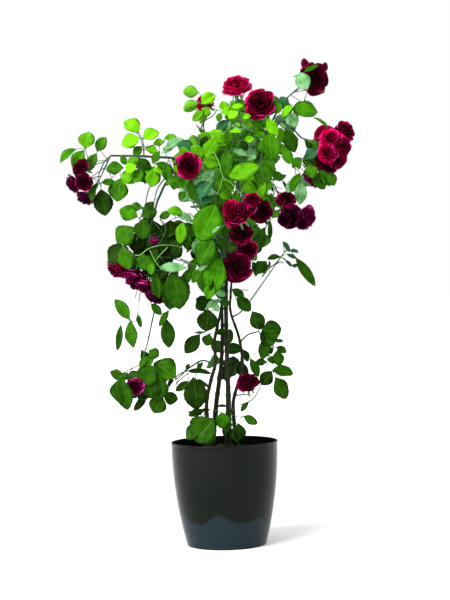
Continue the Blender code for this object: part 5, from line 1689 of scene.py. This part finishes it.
def add_node(finish, kind, **inputs):
    node = finish.node_tree.nodes.new("ShaderNode" + kind)
    set_inputs(finish, node, **inputs)
    return node


def patterned(name, colour, other, roughness, scale, relief, gloss):
    """A finish whose colour wanders between two near tones, with uneven gloss and a fine relief.

    scale is patches per metre, relief the height of the grain in metres, gloss the shader's own sockets."""
    finish = bpy.data.materials.new(name)
    finish.use_nodes = True
    places = add_node(finish, "TexCoord").outputs["Object"]

    def noise(times, detail):
        return add_node(finish, "TexNoise", Vector=places, Scale=scale * times, Detail=detail).outputs["Fac"]

    tones = add_node(finish, "ValToRGB", Fac=noise(*TONE_NOISE))
    for stop, position, tone in zip(tones.color_ramp.elements, TONE_STOPS, (colour, other)):
        stop.position = position
        stop.color = (*tone, 1)
    least, most = roughness
    rough = add_node(finish, "MapRange", Value=noise(*ROUGH_NOISE), To_Min=least, To_Max=most)
    bump = add_node(finish, "Bump", Height=noise(*GRAIN_NOISE), Strength=1, Distance=relief)
    shader = finish.node_tree.nodes["Principled BSDF"]
    set_inputs(
        finish,
        shader,
        Base_Color=tones.outputs["Color"],
        Roughness=rough.outputs["Result"],
        Normal=bump.outputs["Normal"],
        **gloss,
    )
    return finish


def pot_finish():
    """Glossy dark plastic: olive streaked with brown above, and slate blue below a wavy line."""
    finish = patterned("pot gloss", *POT_FINISH)
    shader = finish.node_tree.nodes["Principled BSDF"]
    upper = shader.inputs["Base Color"].links[0].from_socket
    split = add_node(finish, "SeparateXYZ", Vector=add_node(finish, "TexCoord").outputs["Object"]).outputs
    level = add_node(finish, "CombineXYZ", X=split["X"], Y=split["Y"])
    waves = add_node(finish, "TexNoise", Vector=level.outputs["Vector"], Scale=POT_REFLECTION_WAVES, Detail=1)
    lifted = add_node(finish, "Math")
    lifted.operation = "MULTIPLY_ADD"
    lifted.inputs[1].default_value = POT_REFLECTION_WAVE_HEIGHT
    finish.node_tree.links.new(waves.outputs["Fac"], lifted.inputs[0])
    finish.node_tree.links.new(split["Z"], lifted.inputs[2])
    low, high = POT_REFLECTION_LINE
    edge = add_node(finish, "MapRange", Value=lifted.outputs["Value"], From_Min=low, From_Max=high)
    # Below the wavy line the base colour is a painted reflection in slate blue.
    both = add_node(finish, "Mix")
    both.data_type = "RGBA"
    set_inputs(finish, both, Factor=edge.outputs["Result"], A=POT_PAINTED_REFLECTION, B=upper)
    set_inputs(finish, shader, Base_Color=both.outputs["Result"])
    return finish


def between(first, second, share):
    return tuple(a + (b - a) * share for a, b in zip(first, second))


def leaf_finishes(name, colour, other):
    """Of a leaf's upper side, its underside and its middle rib."""
    share, pale = UNDER_PALENESS
    under = (between(colour, pale, share), between(other, pale, share))
    rib_share, rib = RIB_PALENESS
    return [
        patterned("leaf " + name, colour, other, *LEAF_GRAIN, LEAF_GLOSS),
        patterned("underleaf " + name, *under, *UNDERLEAF_GRAIN, LEAF_GLOSS),
        patterned("rib " + name, other, between(other, rib, rib_share), *RIB_GRAIN, LEAF_GLOSS),
    ]


def petal_finishes(name, tones):
    finishes = []
    for part, tone in zip(("heart", "face", "rim"), tones):
        shade = between(tone, BLACK, PETAL_SHADE)
        finishes.append(patterned(f"petal {name} {part}", shade, tone, *PETAL_GRAIN, PETAL_GLOSS))
    return finishes


def make_finishes():
    """The finishes of each piece, by its name, in the order of its forms' slots."""
    finishes = {name: [patterned(name, *values)] for name, values in PLAIN_FINISHES.items()}
    finishes["pot_shell"] = [pot_finish()]
    for name, tones in LEAF_COLOURS.items():
        finishes["leaves_" + name] = leaf_finishes(name, *tones)
    for name, tones in ROSE_COLOURS.items():
        finishes["roses_" + name] = petal_finishes(name, tones)
    return finishes


# --- Growing the plant -----------------------------------------------------------------------------------


def solid_of(node):
    mesh = node.data
    return Solid([corner.co for corner in mesh.vertices], [tuple(face.vertices) for face in mesh.polygons])


def stem_route(spray, node, routes):
    """The route of a spray's stem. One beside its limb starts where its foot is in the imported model."""
    limb_route = routes[spray.limb]
    if spray.share == 1:
        first, second = next_points(limb_route, 1)
        return [first, *smooth_route([second, in_metres(spray.stem)], STEM_STEP)]
    place, _ = along(limb_route, spray.share)
    corners = {tuple(round(value / CORNER_GRID) for value in corner.co) for corner in node.data.vertices}
    corners = sorted((Vector(corner) * CORNER_GRID for corner in corners), key=lambda at: (at - place).length)
    start = sum(corners[:TWIG_SIDES], Vector()) / TWIG_SIDES
    end = in_metres(spray.stem)
    middle = start.lerp(end, 0.5) + Vector((0, 0, STEM_ARCH * (end - start).length))
    return smooth_route([start, middle, end], STEM_STEP)


def stem_radii(spray):
    radius = blend(radii_of({**CANES, **BOUGHS}[spray.limb]), spray.share)
    return [TIP_STEM_SHARE * radius if spray.share == 1 else min(SIDE_STEM_RADIUS, radius), TWIG_END]


def grow_plant(nodes, routes):
    """Every spray as the source grows it, then the finer leaves that the solids leave out."""
    makers = {
        "leaflet": unit_leaflet,
        "bud": unit_leaflet,
        "twig": unit_twig,
        "stalk": unit_twig,
        "bloom": unit_bloom,
    }
    shapes = {name: Shape(name, make()) for name, make in makers.items()}
    solids = {name: solid_of(nodes[name]) for name in ("pot", "soil", *CANES, *BOUGHS)}
    growths = []
    for name, spray in SPRAYS.items():
        route = stem_route(spray, nodes[name], routes)
        growth = Growth(name, spray, route, shapes, solids[spray.limb], routes[spray.limb])
        stem = tapered(route, stem_radii(spray), TWIG_SIDES)
        growth.own.append(Solid([Vector(corner) for corner in stem.corners], stem.faces.tolist()))
        growths.append(growth)
    rule_steps = (grow_blooms, grow_reaches, grow_filler)
    finer_steps = (grow_finer, grow_finer_filler, grow_finer_roses, grow_bough_leaves)
    for step in rule_steps + finer_steps:
        for growth in growths:
            neighbours = [solid for other in growths if other is not growth for solid in other.own]
            growth.others = [*solids.values(), *neighbours]
            step(growth)
    return growths


def grow_blooms(growth):
    for bloom, tone in zip(growth.spray.blooms, growth.spray.rose_tones):
        growth.tone = tone
        growth.bloom(bloom)


def grow_reaches(growth):
    for tip, tone in zip(growth.spray.reaches, growth.spray.leaf_tones):
        growth.tone = tone
        growth.reach(in_metres(tip))


def grow_filler(growth):
    growth.tone = growth.spray.leaf_tones[-1]
    for number in range(growth.spray.filler):
        growth.filler(number, growth.spray.filler)


def grow_along(growth, count, tone_step):
    """Leaves that the rule spreads along a stem or bough, each this many of the spray's tones on."""
    tones = growth.spray.leaf_tones
    for number in range(count):
        growth.tone = tones[(tone_step * number + 1) % len(tones)]
        growth.filler(number + 1, count + 1)


def grow_finer(growth):
    """Leaves between the ones of the solids, each at its own place."""
    growth.finer_from = len(growth.pieces)
    for tone, width, foot, tip, depth in FINER_LEAVES.get(growth.name, ()):
        growth.tone = tone
        growth.finer_leaf(width, seen_at(*foot, depth), seen_at(*tip, depth))


def grow_finer_filler(growth):
    """Small leaves along a stem that has no finer leaves of its own."""
    if growth.name not in FINER_LEAVES:
        growth.leaflet, growth.pairs = FINER_LEAFLET * growth.spray.leaflet, 1
        grow_along(growth, FINER_COUNT, FINER_TONE_STEP)


def grow_finer_roses(growth):
    for tone, width, place, facing in FINER_ROSES.get(growth.name, ()):
        facing = Vector(facing)
        sizes = [width * MM] * 3
        growth.tone = tone
        growth.add(growth.shapes["bloom"], set_along(seen_at(*place), facing.orthogonal(), facing, *sizes))


def grow_bough_leaves(growth):
    """Leaves along the boughs at the back, which no other foliage hides."""
    if growth.name in BOUGH_LEAVES:
        stem = growth.route
        growth.route = growth.bearer_route
        growth.others = [solid for solid in growth.others if solid is not growth.bearer]
        grow_along(growth, BOUGH_LEAVES[growth.name], BOUGH_TONE_STEP)
        growth.route = stem


# --- Joined pieces ---------------------------------------------------------------------------------------


class Heap:
    """Forms of one kind and one tone, joined into one piece as they come."""

    def __init__(self, name, slot, finishes):
        self.name = name
        self.slot = slot
        self.finishes = finishes[name]
        self.forms = []
        self.nodes = set()

    def add(self, form, place, node):
        self.forms.append(moved(form, place))
        self.nodes.add(node)

    def piece(self):
        form = merged(self.forms)
        count = len(form.faces)
        mesh = bpy.data.meshes.new(self.name)
        mesh.vertices.add(len(form.corners))
        mesh.vertices.foreach_set("co", form.corners.astype(np.float32).ravel())
        mesh.loops.add(3 * count)
        mesh.loops.foreach_set("vertex_index", form.faces.astype(np.int32).ravel())
        mesh.polygons.add(count)
        mesh.polygons.foreach_set("loop_start", np.arange(0, 3 * count, 3, dtype=np.int32))
        for finish in self.finishes:
            mesh.materials.append(finish)
        mesh.polygons.foreach_set("material_index", form.slots.astype(np.int32))
        mesh.polygons.foreach_set("use_smooth", np.ones(count, bool))
        mesh.update(calc_edges=True)
        made = bpy.data.objects.new(self.name, mesh)
        bpy.context.scene.collection.objects.link(made)
        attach(made, BODY)
        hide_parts(*sorted(self.nodes))


# --- Leaves, twigs and roses -----------------------------------------------------------------------------


def upright(place):
    """The placement of a leaflet's solid for its fine form, whose height is scaled as its length."""
    scale = place.to_scale()
    return place @ Matrix.Diagonal((1, 1, scale.y / scale.z, 1))


def seen_in(circles, place):
    """Whether the photo shows this place in one of these circles."""
    pixel = pixel_of(place)
    return any((pixel - Vector(middle)).length < radius for *middle, radius in circles)


class Foliage:
    """Fine forms in the place of the rule's pieces, in one heap for each kind and tone."""

    def __init__(self, finishes):
        self.finishes = finishes
        self.heaps = {}
        self.leaves = [leaflet_form(seed) for seed in range(LEAF_FORMS)]
        self.stalks = [stalk_form(bow) for bow in STALK_BOWS]
        self.roses = [rose_form(seed, *variant) for seed, variant in enumerate(ROSE_FORMS)]
        self.buds = [bud_forms(seed) for seed in range(BUD_FORMS)]
        self.calyx = calyx_form()

    def add(self, name, form, place, node):
        if name not in self.heaps:
            self.heaps[name] = Heap(name, "foliage", self.finishes)
        self.heaps[name].add(form, place, node)

    def stem(self, growth):
        route = smooth_route(growth.route, FINE_STEP)
        if growth.spray.share < 1:
            route = [route[0] - (route[1] - route[0]).normalized() * STEM_SINK, *route]
        stem = tapered(route, stem_radii(growth.spray), STEM_SIDES, STEM_SLIMNESS)
        self.add("twigs", stem, Matrix(), growth.name)

    def leaflet(self, rng, place, tone, own, node):
        form = rng.choice(self.leaves)
        if own or not seen_in(SKY + RELEAVED, place @ Vector((0, 0.5, 0))):
            self.add("leaves_" + LEAF_TONE_NAMES[tone], form, upright(place), node)

    def twig(self, rng, kind, place, own, node):
        form = rng.choice(self.stalks)
        if own or kind == "twig" or not seen_in(SKY, place @ Vector((0, 1, 0))):
            slim = Matrix.Diagonal((SLIMNESS[kind], 1, SLIMNESS[kind], 1))
            self.add("twigs", form, place @ slim, node)

    def rose(self, rng, place, tone, facing, node):
        if facing:
            way = Vector(facing)
            place = set_along(place.translation, way.orthogonal(), way, *place.to_scale())
        place = place @ Matrix.Rotation(rng.uniform(0, math.tau), 4, "Z")
        self.add("roses_" + BLOOM_TONE_NAMES[tone], rng.choice(self.roses), place, node)
        self.add("calyces", self.calyx, place, node)

    def bud(self, rng, place, tone, node):
        green, petals = rng.choice(self.buds)
        self.add("calyces", green, place, node)
        self.add("roses_" + BLOOM_TONE_NAMES[tone], petals, place, node)

    def shoots(self, node):
        for kind, *points in SHOOTS.get(node, ()):
            route = smooth_route([seen_at(*point) for point in points], FINE_STEP)
            self.add(kind, tapered(route, SHOOT_RADII[kind], STEM_SIDES), Matrix(), node)

    def dress(self, growth):
        rng = random.Random("dress " + growth.name)
        facings = list(ROSE_FACINGS.get(growth.name, ()))
        self.stem(growth)
        for number, (kind, place, tone) in enumerate(growth.pieces):
            own = number >= growth.finer_from
            if kind == "leaflet":
                self.leaflet(rng, place, tone, own, growth.name)
            elif kind in ("stalk", "twig"):
                self.twig(rng, kind, place, own, growth.name)
            elif kind == "bloom":
                self.rose(rng, place, tone, facings.pop(0) if facings else None, growth.name)
            else:
                self.bud(rng, place, tone, growth.name)
        self.shoots(growth.name)


def dress_sprays(growths, finishes):
    foliage = Foliage(finishes)
    for growth in growths:
        foliage.dress(growth)
    for heap in foliage.heaps.values():
        heap.piece()


# --- Bark ------------------------------------------------------------------------------------------------


def bark_sweep(name, route, radii):
    """A limb with its relief: fine ridges, swollen joints where leaves once stood, and lumps."""
    offset = Vector((random.Random(name).uniform(0, 100), 0, 0))
    last = len(route) - 1
    lumpiness, ridged, jointed = BARK_RELIEF

    def radius_at(i, turn):
        radius = blend(radii, i / last)
        spot = route[i] + Vector((math.cos(turn), math.sin(turn), 0)) * radius
        coarse = field.noise(spot * BARK_COARSE + offset)
        ridge = abs(math.sin(turn * BARK_RIDGES / 2 + 2 * field.noise(route[i] * BARK_TWIST + offset)))
        beyond = i * FINE_STEP % JOINT_SPACING
        joint = max(0, math.cos(math.pi * beyond / JOINT_SPACING * 2)) ** JOINT_SHARPNESS
        return radius * (1 + lumpiness * coarse + ridged * (ridge - 0.5) + jointed * joint)

    return sweep(route, radius_at, BARK_SIDES)


def prickles_on(name, route, radii, prickle):
    rng = random.Random("prickles " + name)
    forms = []
    length = sum((b - a).length for a, b in zip(route, route[1:]))
    for i in range(int(length / PRICKLE_SPACING)):
        share = (i + rng.uniform(*PRICKLE_PLACES)) * PRICKLE_SPACING / length
        if share > PRICKLE_LAST:
            break
        place, direction = along(route, share)
        turn = Matrix.Rotation(PHYLLOTAXIS * i + rng.uniform(-PRICKLE_TURN, PRICKLE_TURN), 3, direction)
        way = turn @ direction.orthogonal()
        radius = blend(radii, share)
        most, least = PRICKLE_GROWTH
        height = rng.uniform(*PRICKLE_SIZES) * min(PRICKLE_HEIGHT, most * radius + least)
        foot = place + way.normalized() * (PRICKLE_SEAT * radius)
        forms.append(moved(prickle, set_along(foot, way, -direction, height, height, height)))
    return forms


def fine_route(name, limb, routes):
    """A limb's route for its bark, which starts a little inside what holds it."""
    route = routes[name]
    if name in BOUGHS and limb.share == 1:
        tip, direction = along(routes[limb.parent], 1)
        route = [tip - direction * STEM_SINK, *route[1:]]
    route = smooth_route(route, FINE_STEP)
    if name in CANES:
        route = [route[0] - Vector((0, 0, ROOT_DEPTH)), *route]
    return route


def dress_limbs(routes, finishes):
    prickle = prickle_form()
    for kind, limbs, skin in (("bark_canes", CANES, 0), ("bark_boughs", BOUGHS, BOUGH_SKIN)):
        heap = Heap(kind, "bark", finishes)
        for name, limb in limbs.items():
            route = fine_route(name, limb, routes)
            radii = radii_of(limb, skin)
            for form in (bark_sweep(name, route, radii), *prickles_on(name, route, radii, prickle)):
                heap.add(form, Matrix(), name)
        heap.piece()


# --- Pot and soil ----------------------------------------------------------------------------------------


def ring_of(radius, steps):
    """(x, y) of evenly spaced places on a circle round the Z axis."""
    turns = [math.tau * j / steps for j in range(steps)]
    return [(radius * math.cos(turn), radius * math.sin(turn)) for turn in turns]


def arc(middle, radius, start, end, steps):
    """Points on an arc in the (radius, height) plane, angles in degrees from straight outwards."""
    angles = [math.radians(start + (end - start) * i / steps) for i in range(steps + 1)]
    return [(middle[0] + radius * math.cos(a), middle[1] + radius * math.sin(a)) for a in angles]


def pot_radius(height):
    """Outer radius of the pot's wall at this height."""
    down = 1 - height / POT_HEIGHT
    return POT_RIM_RADIUS - (POT_RIM_RADIUS - POT_BASE_RADIUS) * down**POT_CURVE


def wall(inset, low, high, count):
    """(radius, height) from low to high on the pot's wall, this far inside its outer face."""
    levels = [low + (high - low) * i / count for i in range(count + 1)]
    return [(pot_radius(level) - inset, level) for level in levels]


def dress_pot(finishes):
    bevel, round_lip, half_wall = POT_FOOT_BEVEL, LIP_ROUNDING, POT_WALL / 2
    outer = wall(POT_LIP / 2, bevel, POT_HEIGHT - POT_LIP_HEIGHT - POT_LIP, POT_ROWS)
    foot = arc((outer[0][0] - bevel, bevel), bevel, -90, 0, FOOT_STEPS)
    lip_corner = (POT_RIM_RADIUS - round_lip, POT_HEIGHT - POT_LIP_HEIGHT + round_lip)
    bead = (POT_RIM_RADIUS - half_wall, POT_HEIGHT - half_wall)
    lip = [*arc(lip_corner, round_lip, -90, 0, LIP_STEPS), *arc(bead, half_wall, 0, 180, BEAD_STEPS)]
    floor = SOIL_SKIRT - SOIL_CUT
    inner = wall(POT_WALL, floor, POT_HEIGHT - INNER_TOP, INNER_ROWS)[::-1]
    profile = [(0, 0), (BASE_RING * POT_BASE_RADIUS, 0), *foot, *outer[1:], *lip, *inner, (0, floor)]
    rings = [[(x, y, level) for x, y in ring_of(radius, POT_STEPS)] for radius, level in profile]
    heap = Heap("pot_shell", "pot", finishes)
    heap.add(round_form(rings, False), Matrix(), "pot")
    heap.piece()


def soil_height(x, y):
    """The soil's surface: a mound round the canes, a skirt by the wall, and lumps."""
    out = math.hypot(x, y)
    share = min(1, max(0, (out - SOIL_CROWN_RADIUS) / (SOIL_SKIRT_RADIUS - SOIL_CROWN_RADIUS)))
    ease = share * share * (3 - 2 * share)
    spot = Vector((x, y, 0))
    lumps = sum(height * field.noise(spot * density) for density, height in SOIL_LUMPS)
    return SOIL_CROWN + (SOIL_SKIRT - SOIL_CROWN) * ease + lumps


def soil_form(edge):
    """The soil's surface out to this radius, closed by a flat underside just below its edge."""
    rings = [
        [(x, y, soil_height(x, y)) for x, y in ring_of(edge * i / SOIL_ROWS, SOIL_STEPS)]
        for i in range(SOIL_ROWS + 1)
    ]
    for radius in (edge, 0):
        rings.append([(x, y, SOIL_SKIRT - SOIL_DEPTH) for x, y in ring_of(radius, SOIL_STEPS)])
    return round_form(rings, True)


def crumb_form(seed):
    """A crumb of soil of unit size."""
    shape = bmesh.new()
    bmesh.ops.create_icosphere(shape, subdivisions=1, radius=0.5)
    offset = Vector((CRUMB_APART * seed, 0, 0))
    for corner in shape.verts:
        corner.co *= 1 + CRUMB_ROUGHNESS * field.noise(corner.co * CRUMB_GRAIN + offset)
    corners = np.array([list(corner.co) for corner in shape.verts])
    faces = np.array([[corner.index for corner in face.verts] for face in shape.faces])
    shape.free()
    return Form(corners, faces, np.zeros(len(faces), np.int32))


def dress_soil(finishes):
    heap = Heap("soil_mound", "soil", finishes)
    edge = pot_radius(SOIL_SKIRT) - POT_WALL
    heap.add(soil_form(edge), Matrix(), "soil")
    rng = random.Random("crumbs")
    crumbs = [crumb_form(seed) for seed in range(CRUMB_KINDS)]
    for _ in range(CRUMBS):
        out = CRUMB_EDGE * edge * math.sqrt(rng.random())
        turn = rng.uniform(0, math.tau)
        x, y = out * math.cos(turn), out * math.sin(turn)
        size = rng.uniform(*CRUMB_SIZE) * rng.uniform(*CRUMB_SIZES)
        tilt = Matrix.Rotation(rng.uniform(0, math.tau), 4, Vector((rng.random(), rng.random(), 1)))
        place = Matrix.Translation((x, y, soil_height(x, y) + CRUMB_RISE * size)) @ tilt
        width, length, height = (share * size for share in CRUMB_FORM)
        heap.add(rng.choice(crumbs), place @ Matrix.Diagonal((width, length, height, 1)), "soil")
    heap.piece()


# --- Stage -----------------------------------------------------------------------------------------------


def add_object(name, data):
    made = bpy.data.objects.new(name, data)
    bpy.context.scene.collection.objects.link(made)
    return made


def add_camera():
    lens = bpy.data.cameras.new("camera")
    lens.lens = CAMERA_LENS
    camera = add_object("camera", lens)
    camera.matrix_world = (
        Matrix.Translation(CAMERA_PLACE)
        @ Matrix.Rotation(math.pi / 2 + CAMERA_PITCH, 4, "X")
        @ Matrix.Rotation(CAMERA_ROLL, 4, "Z")
    )
    bpy.context.scene.camera = camera


def shine_along(light, way):
    light.rotation_euler = way.to_track_quat("-Z", "Y").to_euler()


def add_sun():
    lamp = bpy.data.lights.new("sun", "SUN")
    lamp.energy = SUN_STRENGTH
    lamp.angle = SUN_SOFTNESS
    shine_along(add_object("sun", lamp), -Vector(SUN_PLACE))


def add_window(name, place, side, power):
    lamp = bpy.data.lights.new(name, "AREA")
    lamp.shape = "SQUARE"
    lamp.size = side
    lamp.energy = power
    light = add_object(name, lamp)
    light.location = place
    shine_along(light, Vector(WINDOW_AIM) - Vector(place))


def add_floor(finishes):
    shape = bmesh.new()
    bmesh.ops.create_grid(shape, x_segments=1, y_segments=1, size=FLOOR_SIDE / 2)
    mesh = bpy.data.meshes.new("floor")
    shape.to_mesh(mesh)
    shape.free()
    for finish in finishes["floor"]:
        mesh.materials.append(finish)
    add_object("floor", mesh)


def add_stage(finishes):
    scene = bpy.context.scene
    scene.world = bpy.data.worlds.new("studio")
    scene.world.use_nodes = True
    backdrop = scene.world.node_tree.nodes["Background"].inputs
    backdrop["Color"].default_value = (1, 1, 1, 1)
    backdrop["Strength"].default_value = WORLD_STRENGTH
    scene.view_settings.view_transform = "Standard"
    add_floor(finishes)
    add_sun()
    for name, window in WINDOWS.items():
        add_window(name, *window)


def main():
    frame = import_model()
    finishes = make_finishes()
    add_camera()
    add_stage(finishes)
    routes = limb_routes()
    dress_pot(finishes)
    dress_soil(finishes)
    dress_limbs(routes, finishes)
    dress_sprays(grow_plant(frame["nodes"], routes), finishes)


main()
